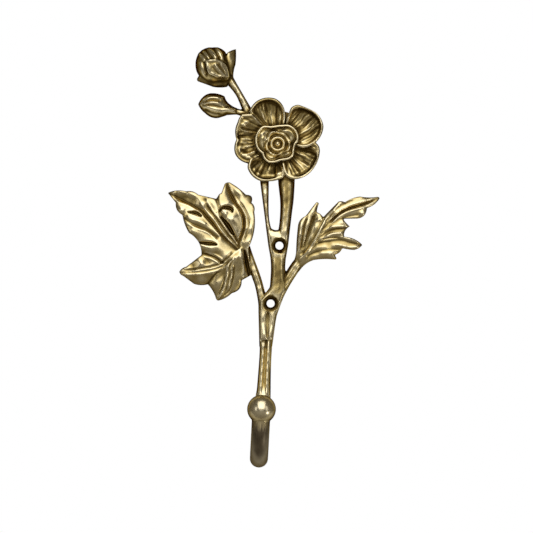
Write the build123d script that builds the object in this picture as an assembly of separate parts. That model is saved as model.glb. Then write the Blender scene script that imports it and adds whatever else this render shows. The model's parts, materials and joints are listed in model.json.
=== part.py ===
from build123d import *
import math
import os

# Wall hook cast in one piece: stems, two leaves, an open flower, two buds and a curl with a ball.
# Sizes are in millimetres. The wall is the plane y = 0, the front faces -Y and +Z is up.
# Outlines are listed as (x, z, bulge), bulge being the outward rise of the arc to the next point.
# A height is how far a surface stands out from the wall.

# Screw holes, one above the middle of the frame and one below it
SCREW_RISE = 29.0
SCREW_SIDESTEP = 4.4
SCREW_HOLE_D = 4.0
COUNTERSINK_D = 7.6
COUNTERSINK_ANGLE = 90.0
BOSS_RIM = 0.8

# Stems
STEM_HEIGHT = 5.2
LEFT_STEM_D = 4.0
RIGHT_STEM_D = 4.7
LEFT_PRONG_D = 3.0
RIGHT_PRONG_D = 6.4
TRUNK_D = 6.3
TRUNK_PROUD = 1.0
STEM_STEP = 0.2
BIG_STALK_D = 4.2
SMALL_STALK_D = 3.6
STEM_BEND_R = 30.0
BOSS_HEIGHT = STEM_HEIGHT - 0.2
WEB_HEIGHT = BOSS_HEIGHT - 0.3

# Hook
HOOK_ROD_D = 9.0
HOOK_THROAT = 19.0
HOOK_LEAN = 3.0
HOOK_BOTTOM_Z = -95.5
HOOK_FOOT_X = -7.3
BALL_D = 14.1
BALL_RISE = 11.1
SHANK = 20.0
SHANK_END_D = 3.0
CURL_Z = HOOK_BOTTOM_Z + HOOK_THROAT / 2 + HOOK_ROD_D

# Leaves
LEAF_THICKNESS = 3.0
LEAF_CROWN = STEM_HEIGHT + 1.8
LEAF_DOME_R = 140.0
VEIN_DEPTH = 0.7
VEIN_WIDTH = 3.0
SLIT_DEPTH = 1.7
SLIT_WIDTH = 3.0

# Flower
FLOWER = (1.3, 65.3)
FLOWER_BACK_D = 33.4
PETAL_RIM = 7.0
PETAL_FLOOR = 4.0
PETAL_STEP = 0.35
PETAL_SKIN = 2.4
FLUTE_DEPTH = 0.7
FLUTE_WIDTH = 2.4
FLUTE_RUNOUT = 1.25
CUP_RIM = 11.0
CUP_FLOOR = 7.0
RING_D = 6.8
RING_WIDTH = 1.5
RING_RISE = 1.6
DOT_D = 3.2
DOT_RISE = 1.2

# Buds
BIG_BUD_D = 17.8
BIG_BUD_AXIS = 3.0
SMALL_BUD_D = 12.4
SMALL_BUD_AXIS = 2.5
SMALL_BUD_POINT = 2.5
BUD_TIP_D = 0.8
BUD_NECK_FLARE = 1.0
SEPAL_PROUD = 0.8
SEPAL_SKIN = 3.0
SEPAL_DOME_R = 20.0

# Left leaf, from its stem up the right side and round by the left
LEFT_LEAF = [
    (-13.3, 13.4, 1.5), (-10.4, 31.5, 0.8), (-11.8, 36.0, 1.8), (-14.6, 40.0, 0.4),
    (-22.8, 46.2, 0.3), (-25.2, 45.5, 0.0), (-26.8, 40.8, 0.3), (-28.6, 39.2, 0.0),
    (-29.4, 37.9, 0.0), (-38.5, 40.0, 0.8), (-44.5, 41.7, 0.8), (-53.8, 41.0, 0.0),
    (-49.7, 36.0, 1.2), (-46.3, 29.8, 0.5), (-43.0, 20.8, -0.5), (-38.0, 15.8, -0.4),
    (-36.8, 9.8, 0.0), (-44.5, 3.9, 0.5), (-47.9, 1.4, 0.4), (-46.0, -0.6, 0.0),
    (-40.5, -4.7, 0.5), (-33.6, -4.9, -0.5), (-29.5, -12.2, 0.0), (-28.7, -13.1, 0.6),
    (-21.6, -9.3, 1.7), (-16.7, -2.9, 0.0), (-12.2, -0.4, 0.0),
]
LEFT_VEINS = [
    [(-18.5, 13.5), (-30.0, 24.5), (-37.0, 32.0), (-44.0, 37.4), (-56.0, 42.0)],
    [(-16.8, 17.0), (-15.8, 26.0), (-18.2, 35.0), (-25.0, 47.0)],
    [(-19.5, 11.0), (-29.0, 3.8), (-36.0, 1.4), (-50.0, 1.2)],
    [(-19.8, 9.0), (-23.4, -2.5), (-29.5, -14.5)],
]
LEFT_SLITS = [
    [(-38.4, 29.4), (-43.0, 30.4), (-49.0, 29.4)],
    [(-29.0, 15.4), (-33.0, 15.6), (-41.0, 17.0)],
    [(-20.5, 20.8), (-24.5, 25.2), (-28.2, 33.0), (-30.0, 40.0)],
    [(-29.5, 0.0), (-34.5, -7.0)],
]
LEFT_CROWN = (-29.0, 16.0)

# Right leaf, from its stem up the left side and round by the right
RIGHT_LEAF = [
    (7.5, 3.3, -0.5), (10.5, 11.0, 0.15), (11.4, 24.0, 1.0), (15.3, 29.3, 0.0),
    (20.6, 36.2, 0.3), (22.0, 35.6, -0.2), (20.9, 31.2, 0.4), (24.0, 28.7, 0.0),
    (31.8, 36.6, 0.3), (35.0, 36.2, 0.5), (42.5, 39.1, -0.4), (51.5, 39.0, 0.2),
    (52.5, 38.3, 0.8), (46.0, 33.3, 1.9), (40.0, 28.0, 0.0), (34.0, 27.9, -0.2),
    (37.4, 24.1, -1.0), (34.5, 18.9, 1.0), (43.7, 14.9, 0.5), (39.5, 12.3, 0.15),
    (33.6, 13.2, 0.7), (29.8, 9.9, 0.0), (30.8, 8.1, 0.2), (30.0, 7.5, -0.35),
    (19.5, 7.3, -0.5), (13.5, 3.5, 0.0), (11.5, 1.0, 0.0),
]
RIGHT_VEINS = [
    [(13.0, 7.5), (21.0, 18.0), (25.5, 24.0), (32.0, 30.3), (40.0, 34.2), (55.0, 39.4)],
    [(15.2, 15.0), (18.4, 25.0), (21.6, 38.0)],
    [(25.0, 20.2), (30.0, 22.4), (40.0, 24.8)],
    [(24.0, 16.4), (33.0, 17.0), (46.0, 14.0)],
]
RIGHT_SLITS = [
    [(20.8, 20.4), (22.2, 24.0), (24.6, 31.0)],
    [(29.5, 26.0), (37.0, 28.0)],
    [(29.5, 19.2), (37.0, 19.8)],
]
RIGHT_CROWN = (27.0, 20.0)

# Petals from the lowest to the topmost: outline, middle of the hollow, reach of that hollow, and the flutes
# as lines that run from near the cup out to the rim
PETALS = [
    ([(-10.0, 57.0, 0.2), (-13.5, 55.5, 0.4), (-18.0, 57.5, 0.6), (-20.4, 62.5, 0.35), (-19.3, 67.5, 0.9),
      (-18.8, 76.0, 0.4), (-16.5, 80.3, 0.0), (-9.0, 80.5, 0.0), (0.0, 66.0, 0.0)], (-9.6, 67.6), 9.8,
     [((-9.5, 71.4), (-18.0, 74.2)), ((-10.0, 67.8), (-19.0, 68.0)), ((-9.6, 63.4), (-18.2, 60.8))]),
    ([(-13.0, 81.5, 0.5), (-9.0, 86.8, 1.0), (0.0, 88.0, 0.75), (4.6, 82.8, 0.3), (5.0, 77.0, 0.0),
      (2.0, 66.0, 0.0)], (-3.6, 78.6), 8.8,
     [((-6.4, 75.4), (-10.2, 83.6)), ((-3.4, 75.2), (-4.8, 86.0)), ((0.6, 75.4), (0.6, 86.0))]),
    ([(5.0, 52.0, 0.3), (4.0, 48.2, 0.35), (-3.0, 46.6, 0.1), (-7.5, 46.8, 0.8), (-13.3, 52.0, 0.7),
      (-12.8, 56.5, 0.65), (-9.0, 59.0, 0.0), (0.0, 64.0, 0.0)], (-4.0, 55.6), 8.4,
     [((-6.6, 58.0), (-12.0, 53.2)), ((-3.8, 56.0), (-7.2, 48.6)), ((-0.4, 55.4), (-0.4, 47.6))]),
    ([(20.5, 65.8, 0.5), (22.4, 62.0, 0.6), (19.8, 53.8, 1.4), (10.0, 47.6, 0.95), (4.5, 50.5, 0.0),
      (2.0, 60.0, 0.0), (14.0, 66.5, 0.0)], (12.4, 57.4), 8.9,
     [((10.8, 62.6), (20.2, 60.4)), ((9.6, 60.0), (18.0, 54.6)), ((7.6, 58.0), (13.6, 50.4))]),
    ([(5.5, 76.0, 0.3), (8.0, 83.3, 0.35), (11.5, 84.8, 0.3), (20.0, 81.2, 0.85), (24.2, 74.0, 1.25),
      (19.0, 65.0, 0.45), (13.5, 63.2, 0.0), (6.0, 66.0, 0.0)], (13.8, 74.0), 9.4,
     [((8.6, 75.4), (13.2, 82.2)), ((11.6, 72.2), (19.2, 79.0)), ((12.6, 68.8), (21.2, 73.4))]),
]
CUP = [
    (-5.0, 74.3, 0.0), (-2.0, 74.0, 0.2), (6.5, 74.8, 1.6), (11.8, 67.8, 0.3), (10.5, 65.3, -0.3),
    (9.5, 60.0, 0.7), (5.5, 57.0, 0.0), (2.5, 56.6, 0.4), (-3.0, 55.6, 0.8), (-6.5, 60.3, 0.85),
    (-9.9, 66.0, 0.8), (-8.0, 72.5, 0.4),
]
CUP_HOLLOW_R = 8.6

# Buds: middle and neck of each, then the sepals of the big one
BIG_BUD = (-31.0, 104.8)
BIG_BUD_NECK = (-23.2, 97.4)
SMALL_BUD = (-30.0, 84.6)
SMALL_BUD_NECK = (-22.6, 82.7)
SMALL_BUD_TURN = 172.0
FRONT_SEPAL = [
    (-22.5, 98.5, 0.3), (-24.5, 104.5, 0.3), (-29.0, 107.2, 0.3), (-34.8, 106.6, 0.3), (-33.0, 100.0, 0.0),
    (-29.0, 98.0, 0.0),
]
RIGHT_SEPAL = [
    (-20.8, 98.0, -0.4), (-19.8, 105.0, 0.0), (-19.6, 113.0, 0.2), (-23.8, 111.0, 0.3), (-24.4, 103.0, 0.0),
]
LOW_SEPAL = [
    (-24.0, 94.0, 0.3), (-31.0, 93.9, 0.0), (-38.6, 96.7, 0.2), (-39.1, 97.9, 0.0), (-37.9, 99.7, -0.3),
    (-30.0, 100.0, 0.0), (-22.0, 98.0, 0.0),
]

# Lines of the stems, each a chain of straight runs with rounded bends
LEFT_STEM = [(-5.7, -35.0), (-6.2, -11.7), (-13.3, 11.2), (-19.0, 13.4)]
LEFT_STEM_BENDS = [25.0, 4.0]
RIGHT_STEM = [(-3.3, -35.0), (-1.1, -21.0), (3.2, -8.5), (14.5, 9.5)]
LEFT_PRONG = [(-2.8, -15.0), (-0.45, 0.0), (-1.0, 10.0), (-4.3, 29.0), (-5.3, 52.0)]
RIGHT_PRONG = [(-1.8, -14.5), (1.4, -2.0), (1.9, 6.0), (5.5, 32.0), (6.0, 54.0)]
TRUNK = [(-4.3, -32.5), (-4.85, -43.0), (HOOK_FOOT_X + 0.4, CURL_Z + 3.0)]
BIG_STALK = [(-24.5, 99.3), (-17.3, 89.0), (-11.0, 77.5)]
SMALL_STALK = [(-26.0, 83.6), (-19.0, 81.8), (-10.0, 78.0)]
LOW_WEB = [(-5.8, -34.0, 0.0), (-3.2, -34.0, 0.0), (0.0, -17.0, 0.0), (-2.2, -8.0, 0.0), (-6.4, -12.0, 0.0)]
MIDDLE_WEB = [(-0.6, 11.0, 0.0), (-0.6, -12.0, 0.0), (1.4, -12.0, 0.0), (2.4, 11.0, 0.0)]
HIGH_WEB = [(-3.0, 12.0, 0.0), (4.0, 12.0, 0.0), (4.4, 24.3, -0.6), (0.0, 22.3, -0.3), (-3.4, 24.5, 0.0)]

FRONT = Plane.XZ
BASE = (Align.CENTER, Align.CENTER, Align.MIN)
CLEAR = 30.0
WALL_SPAN = 400.0


def outline(points):
    """Closed face in the wall plane, its edges straight or arcs by the bulge of each point."""
    area = 0.0
    for here, there in zip(points, points[1:] + points[:1]):
        area += here[0] * there[1] - there[0] * here[1]
    outward = -1 if area > 0 else 1
    edges = []
    for here, there in zip(points, points[1:] + points[:1]):
        start = (here[0], here[1])
        end = (there[0], there[1])
        if here[2] == 0:
            edges.append(Line(start, end))
        else:
            edges.append(SagittaArc(start, end, outward * here[2]))
    return Face(Wire(edges))


def prism(points, low, high):
    """Outline raised from one height off the wall to another."""
    return extrude(FRONT.offset(low) * outline(points), high - low, dir=FRONT.z_dir)


def ball(x, z, height, radius):
    """Sphere whose middle stands at a height off the wall."""
    return Pos(x, -height, z) * Sphere(radius)


def stem(line, diameter, front=STEM_HEIGHT, bends=STEM_BEND_R):
    """Round stem along a line on the wall, its front standing at a height."""
    path = Wire(FilletPolyline(*line, radius=bends).edges())
    run = Vector(line[1][0] - line[0][0], line[1][1] - line[0][1])
    section = Plane(origin=(line[0][0], line[0][1], 0), z_dir=run) * Circle(diameter / 2)
    return FRONT.offset(front - diameter / 2) * sweep(section, path)


def taper(start, start_r, end, end_r):
    """Round cone from one point to another, points given as (x, z, height)."""
    low = Vector(start[0], -start[2], start[1])
    high = Vector(end[0], -end[2], end[1])
    place = Plane(origin=low, z_dir=high - low)
    return place * Cone(start_r, end_r, (high - low).length, align=BASE)


def pin(start, end, radius):
    """Round bar from one point to another, points given as (x, z, height)."""
    low = Vector(start[0], -start[2], start[1])
    high = Vector(end[0], -end[2], end[1])
    place = Plane(origin=low, z_dir=high - low)
    return place * Cylinder(radius, (high - low).length, align=BASE)


def dome_height(crown, x, z):
    """Height of a leaf's domed front before its veins are sunk."""
    reach = math.hypot(x - crown[0], z - crown[1])
    return LEAF_CROWN - LEAF_DOME_R + math.sqrt(LEAF_DOME_R**2 - reach**2)


def grooves(line, crown, width, depth):
    """Round cutters along a broken line on a leaf, running out at its first point."""
    radius = (width**2 / 4 + depth**2) / (2 * depth)
    ends = []
    for i, (x, z) in enumerate(line):
        sink = depth if i else -0.1
        ends.append((x, z, dome_height(crown, x, z) + radius - sink))
    runs = [pin(here, there, radius) for here, there in zip(ends, ends[1:])]
    knees = [ball(*end, radius) for end in ends[1:-1]]
    return runs + knees


def leaf(points, veins, slits, crown):
    """Domed leaf with sunk veins and deeper slits between its lobes, hollow behind."""
    front = ball(crown[0], crown[1], LEAF_CROWN - LEAF_DOME_R, LEAF_DOME_R)
    back = ball(crown[0], crown[1], LEAF_CROWN - LEAF_DOME_R - LEAF_THICKNESS, LEAF_DOME_R)
    cutters = [back]
    for line in veins:
        cutters += grooves(line, crown, VEIN_WIDTH, VEIN_DEPTH)
    for line in slits:
        cutters += grooves(line, crown, SLIT_WIDTH, SLIT_DEPTH)
    return (prism(points, 0, CLEAR) & front) - cutters


def dish(x, z, floor, rim, reach, swell=0.0):
    """Ball that hollows a bowl of this floor height, rim height and reach, or is swollen round it."""
    drop = rim - floor
    radius = (reach**2 + drop**2) / (2 * drop)
    return ball(x, z, floor + radius, radius + swell)


def flute(line, middle, floor, rim, reach):
    """Ring that sinks a round groove into a bowl along a line on the wall and runs out before the rim."""
    drop = rim - floor
    bowl_r = (reach**2 + drop**2) / (2 * drop)
    groove_r = (FLUTE_WIDTH**2 / 4 + FLUTE_DEPTH**2) / (2 * FLUTE_DEPTH)
    run = Vector(line[1][0] - line[0][0], line[1][1] - line[0][1]).normalized()
    across = Vector(-run.Y, run.X)
    offset = (Vector(*line[0]) - Vector(*middle)).dot(across)
    pull = FLUTE_RUNOUT * FLUTE_DEPTH * bowl_r / reach
    spot = Vector(*middle) + across * offset - run * pull
    ring_r = math.sqrt((bowl_r - groove_r + FLUTE_DEPTH) ** 2 - offset**2)
    place = Plane(origin=(spot.X, -floor - bowl_r, spot.Y), z_dir=(across.X, 0, across.Y))
    return place * Torus(ring_r, groove_r)


def flower():
    """Five fluted petals one over the other, with a wavy cup, a ring and a dot in the middle."""
    body = pin((*FLOWER, 0), (*FLOWER, PETAL_FLOOR), FLOWER_BACK_D / 2)
    for i, (points, middle, reach, flutes) in enumerate(PETALS):
        rim = PETAL_RIM + i * PETAL_STEP
        bowl = dish(*middle, PETAL_FLOOR, rim, reach, PETAL_SKIN)
        hollow = dish(*middle, PETAL_FLOOR, rim, reach)
        cutters = [flute(line, middle, PETAL_FLOOR, rim, reach) for line in flutes]
        petal = (prism(points, 0, rim) & bowl) - [hollow, *cutters]
        body = (body - prism(points, PETAL_FLOOR - PETAL_SKIN, CLEAR)) + petal
    cup = prism(CUP, 0, CUP_RIM) - dish(*FLOWER, CUP_FLOOR, CUP_RIM, CUP_HOLLOW_R)
    body = (body - prism(CUP, -1, CLEAR)) + cup
    foot = (*FLOWER, CUP_FLOOR - 1)
    ring = taper(foot, RING_D / 2 + 0.4, (*FLOWER, CUP_FLOOR + RING_RISE), RING_D / 2)
    well = pin((*FLOWER, CUP_FLOOR), (*FLOWER, CLEAR), RING_D / 2 - RING_WIDTH)
    dot = taper(foot, DOT_D / 2, (*FLOWER, CUP_FLOOR + DOT_RISE), DOT_D / 3)
    return body + ring - well + dot


def buds():
    """Round bud with three sepals and a smaller pointed one, each narrowing to its neck."""
    big_r = BIG_BUD_D / 2
    big = ball(*BIG_BUD, BIG_BUD_AXIS, big_r)
    neck_d = BIG_STALK_D + BUD_NECK_FLARE
    big += taper((*BIG_BUD_NECK, BIG_BUD_AXIS), neck_d / 2, (*BIG_BUD, BIG_BUD_AXIS), big_r)
    big += ball(*BIG_BUD, BIG_BUD_AXIS, big_r + SEPAL_PROUD) & prism(FRONT_SEPAL, 0, CLEAR)
    cap_height = big_r - SEPAL_DOME_R
    cap = ball(*BIG_BUD, cap_height, SEPAL_DOME_R) - ball(*BIG_BUD, cap_height - SEPAL_SKIN, SEPAL_DOME_R)
    big += prism(RIGHT_SEPAL, 0, CLEAR) & cap
    big += prism(LOW_SEPAL, 0, CLEAR) & cap
    small_r = SMALL_BUD_D / 2
    small = ball(*SMALL_BUD, SMALL_BUD_AXIS, small_r)
    neck_d = SMALL_STALK_D + BUD_NECK_FLARE
    small += taper((*SMALL_BUD_NECK, SMALL_BUD_AXIS), neck_d / 2, (*SMALL_BUD, SMALL_BUD_AXIS), small_r)
    reach = small_r + SMALL_BUD_POINT
    touch = small_r**2 / reach
    girth = small_r * math.sqrt(1 - (small_r / reach) ** 2)
    turn = math.radians(SMALL_BUD_TURN)
    away = Vector(math.cos(turn), math.sin(turn))
    root = Vector(*SMALL_BUD) + away * touch
    tip = Vector(*SMALL_BUD) + away * reach
    small += taper((root.X, root.Y, SMALL_BUD_AXIS), girth, (tip.X, tip.Y, SMALL_BUD_AXIS), BUD_TIP_D / 2)
    return big, small


def hook():
    """Curl that comes forward from the foot of the stem and ends in a ball."""
    rod_r = HOOK_ROD_D / 2
    curl_r = (HOOK_THROAT + HOOK_ROD_D) / 2
    lean = math.radians(HOOK_LEAN)
    up = Vector(math.sin(lean), 0, math.cos(lean))
    out = Vector(0, -1, 0)
    side = Plane(origin=(HOOK_FOOT_X, 0, CURL_Z), x_dir=out, z_dir=out.cross(up))
    turn = (rod_r, 0.0)
    middle = (rod_r + curl_r, -curl_r)
    rise = (rod_r + 2 * curl_r, 0.0)
    tip = (rod_r + 2 * curl_r, BALL_RISE)
    path = Wire([ThreePointArc(turn, middle, rise), Line(rise, tip)])
    section = Plane(origin=(rod_r, 0, 0), x_dir=(1, 0, 0), z_dir=(0, -1, 0)) * Circle(rod_r)
    curl = side * sweep(section, path)
    knob = side * (Pos(tip[0], tip[1], 0) * Sphere(BALL_D / 2))
    root = Plane(origin=(rod_r, 0, 0), x_dir=(1, 0, 0), z_dir=(0, 1, 0))
    shank = side * (root * Cone(rod_r, SHANK_END_D / 2, SHANK, align=BASE))
    return curl + knob + shank


def screw_cut(x, z):
    """Straight hole through to the wall with a cone for a countersunk head at the front."""
    bore_r = SCREW_HOLE_D / 2
    head_r = COUNTERSINK_D / 2
    depth = (head_r - bore_r) / math.tan(math.radians(COUNTERSINK_ANGLE / 2))
    bore = pin((x, z, -2), (x, z, CLEAR), bore_r)
    cone = taper((x, z, BOSS_HEIGHT - depth), bore_r, (x, z, BOSS_HEIGHT), head_r)
    mouth = pin((x, z, BOSS_HEIGHT), (x, z, CLEAR), head_r)
    return bore + cone + mouth


def boss(x, z):
    """Flat round seat for a screw head."""
    return pin((x, z, 0), (x, z, BOSS_HEIGHT), COUNTERSINK_D / 2 + BOSS_RIM)


def wall_hook():
    """The whole casting as one solid."""
    holes = [(SCREW_SIDESTEP / 2, SCREW_RISE / 2), (-SCREW_SIDESTEP / 2, -SCREW_RISE / 2)]
    pieces = [
        stem(RIGHT_PRONG, RIGHT_PRONG_D),
        stem(LEFT_PRONG, LEFT_PRONG_D, STEM_HEIGHT - 2 * STEM_STEP),
        prism(HIGH_WEB, 0, WEB_HEIGHT),
        prism(MIDDLE_WEB, 0, WEB_HEIGHT + STEM_STEP / 2),
        prism(LOW_WEB, 0, WEB_HEIGHT),
        stem(LEFT_STEM, LEFT_STEM_D, STEM_HEIGHT - 3 * STEM_STEP, LEFT_STEM_BENDS),
        *[boss(x, z) for x, z in holes],
        stem(TRUNK, TRUNK_D, STEM_HEIGHT + TRUNK_PROUD),
        hook(),
        leaf(LEFT_LEAF, LEFT_VEINS, LEFT_SLITS, LEFT_CROWN),
        leaf(RIGHT_LEAF, RIGHT_VEINS, RIGHT_SLITS, RIGHT_CROWN),
        stem(BIG_STALK, BIG_STALK_D),
        stem(SMALL_STALK, SMALL_STALK_D, STEM_HEIGHT - STEM_STEP),
        flower(),
        *buds(),
    ]
    body = stem(RIGHT_STEM, RIGHT_STEM_D, STEM_HEIGHT - STEM_STEP)
    for piece in pieces:
        body += piece
    wall = Pos(0, CLEAR, 0) * Box(WALL_SPAN, 2 * CLEAR, WALL_SPAN)
    return body - [wall, *[screw_cut(x, z) for x, z in holes]]


os.makedirs("parts", exist_ok=True)
export_step(wall_hook(), "parts/wall_hook.step")
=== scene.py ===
import json
import math

import bmesh
import bpy
import numpy as np
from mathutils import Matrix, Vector

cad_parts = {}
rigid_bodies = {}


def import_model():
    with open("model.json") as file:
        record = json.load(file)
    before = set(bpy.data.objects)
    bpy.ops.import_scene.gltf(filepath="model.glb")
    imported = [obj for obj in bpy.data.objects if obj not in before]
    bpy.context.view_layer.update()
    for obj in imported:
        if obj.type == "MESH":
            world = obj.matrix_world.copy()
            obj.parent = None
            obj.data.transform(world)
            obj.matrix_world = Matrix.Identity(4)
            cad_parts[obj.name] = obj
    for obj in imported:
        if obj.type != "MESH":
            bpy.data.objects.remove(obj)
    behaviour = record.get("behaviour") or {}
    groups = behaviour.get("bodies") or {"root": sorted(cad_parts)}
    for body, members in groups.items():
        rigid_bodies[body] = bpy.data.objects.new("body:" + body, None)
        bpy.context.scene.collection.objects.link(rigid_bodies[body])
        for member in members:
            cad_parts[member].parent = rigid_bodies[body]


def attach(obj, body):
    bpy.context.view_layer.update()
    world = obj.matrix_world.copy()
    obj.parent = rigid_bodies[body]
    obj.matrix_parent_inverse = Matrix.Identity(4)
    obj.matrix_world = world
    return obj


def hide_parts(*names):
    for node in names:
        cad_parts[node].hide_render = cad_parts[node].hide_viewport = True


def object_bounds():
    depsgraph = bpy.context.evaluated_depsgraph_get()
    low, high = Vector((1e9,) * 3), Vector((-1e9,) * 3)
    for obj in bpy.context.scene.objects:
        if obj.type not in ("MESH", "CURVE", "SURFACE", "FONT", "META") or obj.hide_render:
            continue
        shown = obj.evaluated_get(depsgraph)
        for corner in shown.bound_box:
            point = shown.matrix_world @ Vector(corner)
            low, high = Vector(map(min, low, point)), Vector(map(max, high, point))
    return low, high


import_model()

bl_info = {
    "name": "Botanical wall hook",
    "version": (1, 0, 0),
    "blender": (4, 5, 0),
    "location": "3D View > Sidebar > Wall hook",
    "description": "Builds a cast brass wall hook with leaves, a flower and buds around its CAD frame",
    "category": "Object",
}

# The CAD model's box, read before anything is added
CAD_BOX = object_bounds()
BOX_MARGIN = 2e-6
NODE = "wall_hook"
BODY = "root"
PARTS = "hook_parts"

# Shapes are written in millimetres as (x, z) on the wall and a height out from it, and built in metres
MM = 0.001

# Heights in mm that are clear of every carved form, behind and before it, for cutting blocks
CLEAR_BACK = -5.0
CLEAR = 40.0

SOFTEN_SHARE = 0.5
SOFTEN_PASSES = 2

# Least thickness of any form
LEAST_SKIN = 0.4

# Uneven swell of a worked surface as its rise and the size of its waves, the flutes' sway being a turn
LEAF_RIPPLE = (0.18, 2.2)
PETAL_RIPPLE = (0.12, 1.6)
FLUTE_SWAY = (0.012, 2.0)
STEM_RIPPLE = (0.08, 1.3)
BAND_RIPPLE = (0.07, 1.4)
WEB_RIPPLE = (0.15, 1.5)
SEPAL_RIPPLE = (0.15, 1.8)
LEAF_SEED = 0.7
SEPAL_SEED = 2.0

# Waves of a swell: how many, turn and growth from one to the next, phase, and divisor of their sum
RIPPLE_WAVES = 5
RIPPLE_TURN = 2.4
RIPPLE_GROWTH = 0.37
RIPPLE_PHASE = 1.7
RIPPLE_SHARE = 3

# Falls of a form towards its edge as a drop and the reach that it fades over
LEAF_EDGE_FALLS = [(0.5, 0.45), (0.35, 2.0)]
PETAL_EDGE_FALLS = [(0.7, 0.4)]
BAND_EDGE_FALLS = [(1.6, 0.6)]
SEPAL_EDGE_FALLS = [(0.8, 0.6)]

# Rises in from an edge, or out from a line or a middle, as (rise, place, spread)
PETAL_EDGE = [(0.2, 0.8, 0.4), (-0.35, 1.9, 0.7)]
FLUTE_CUT = [(-0.55, 0.0, 0.8)]
FLUTE_LIP = [(0.35, 1.7, 0.7)]
SEPAL_EDGE = [(0.4, 0.6, 0.45)]
CUP_EDGE = [(-0.7, 1.9, 0.6)]
CUP_RINGS = [(1.1, 3.1, 0.7), (-0.55, 4.5, 0.6), (-0.6, 1.9, 0.5), (0.9, 0.0, 1.1)]
CUP_SWIRL = [(0.5, 0.0, 0.5), (-0.5, 1.0, 0.5)]

# Stretches over which flutes start and fade, and a sepal's dish, ridges, the band's head and its grain start
FLUTE_START = (1.4, 3.2)
FLUTE_END = (0.5, 1.0)
SEPAL_DISH_START = (0.8, 2.2)
STEM_RIDGE_START = (1.6, 3.2)
BAND_HEAD = (18.0, 24.0)
SEAT_EDGE = (4.0, 6.5)

# Carved lines: shares of the length that they fade over at the start and the end, and what the end keeps
CARVE_START = 0.12
CARVE_END = 0.1
CARVE_END_LEFT = 0.35

# Pointed slits: least share of the width, lean of the widest place towards the end, and fullness
SLIT_LEAST = 0.3
SLIT_LEAN = 1.5
SLIT_FULL = 0.7

# Screw holes, and the heights that their cutters run between
SCREWS = [(2.2, 14.5), (-2.2, -14.5)]
BOSS_HEIGHT = 5.0
SCREW_SIDES = 96
SCREW_CUT = (-3.0, 30.0)

# Outlines are listed as (x, z, bulge), bulge being the outward rise of the arc to the next point
LEFT_LEAF = [
    (-13.3, 13.4, 1.5), (-10.4, 31.5, 0.8), (-11.8, 36.0, 1.8), (-14.6, 40.0, 0.4),
    (-22.8, 46.2, 0.3), (-25.2, 45.5, 0.0), (-26.8, 40.8, 0.3), (-28.6, 39.2, 0.0),
    (-29.4, 37.9, 0.0), (-38.5, 40.0, 0.8), (-44.5, 41.7, 0.8), (-53.8, 41.0, 0.0),
    (-49.7, 36.0, 1.2), (-46.3, 29.8, 0.5), (-43.0, 20.8, -0.5), (-38.0, 15.8, -0.4),
    (-36.8, 9.8, 0.0), (-44.5, 3.9, 0.5), (-47.9, 1.4, 0.4), (-46.0, -0.6, 0.0),
    (-40.5, -4.7, 0.5), (-33.6, -4.9, -0.5), (-29.5, -12.2, 0.0), (-28.7, -13.1, 0.6),
    (-21.6, -9.3, 1.7), (-16.7, -2.9, 0.0), (-12.2, -0.4, 0.0),
]
RIGHT_LEAF = [
    (7.5, 3.3, -0.5), (10.5, 11.0, 0.15), (11.4, 24.0, 1.0), (15.3, 29.3, 0.0),
    (20.6, 36.2, 0.3), (22.0, 35.6, -0.2), (20.9, 31.2, 0.4), (24.0, 28.7, 0.0),
    (31.8, 36.6, 0.3), (35.0, 36.2, 0.5), (42.5, 39.1, -0.4), (51.5, 39.0, 0.2),
    (52.5, 38.3, 0.8), (46.0, 33.3, 1.9), (40.0, 28.0, 0.0), (34.0, 27.9, -0.2),
    (37.4, 24.1, -1.0), (34.5, 18.9, 1.0), (43.7, 14.9, 0.5), (39.5, 12.3, 0.15),
    (33.6, 13.2, 0.7), (29.8, 9.9, 0.0), (30.8, 8.1, 0.2), (30.0, 7.5, -0.35),
    (19.5, 7.3, -0.5), (13.5, 3.5, 0.0), (11.5, 1.0, 0.0),
]

# Ribs that the lobes are folded down along, ridges they are folded up along, and veins between them
LEFT_RIBS = [
    [(-19.5, 13.2), (-24.5, 17.5), (-27.7, 20.8), (-31.0, 25.0), (-34.3, 28.6),
     (-36.8, 31.4), (-39.3, 33.3), (-43.5, 35.8), (-53.0, 40.6)],
    [(-18.4, 14.5), (-18.1, 16.6), (-16.5, 20.0), (-15.5, 24.0), (-15.6, 28.2),
     (-17.0, 32.0), (-19.9, 35.9), (-24.2, 45.0)],
]
LEFT_RIDGES = [
    [(-18.2, 11.4), (-25.1, 5.0), (-29.8, 2.7), (-38.4, 1.2), (-47.5, 0.9)],
    [(-18.6, 10.4), (-22.3, 5.0), (-22.8, -0.2), (-24.6, -7.2), (-28.4, -12.8)],
]
LEFT_VEINS = [
    [(-45.2, 28.0), (-41.8, 25.6), (-38.1, 23.9), (-33.5, 22.1), (-29.0, 18.6)],
    [(-35.8, 10.4), (-30.3, 8.6), (-26.3, 5.8)],
    [(-34.4, -5.5), (-30.0, 0.0), (-26.0, 3.6)],
    [(-29.2, 38.2), (-28.0, 33.8), (-27.3, 30.6), (-25.8, 27.6), (-22.0, 22.5), (-18.8, 16.8)],
    [(-18.4, 13.8), (-24.2, 20.9), (-28.8, 27.4), (-32.6, 32.4), (-35.4, 37.6)],
    [(-16.0, 12.4), (-14.2, 6.0), (-12.9, -0.5)],
]
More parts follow.
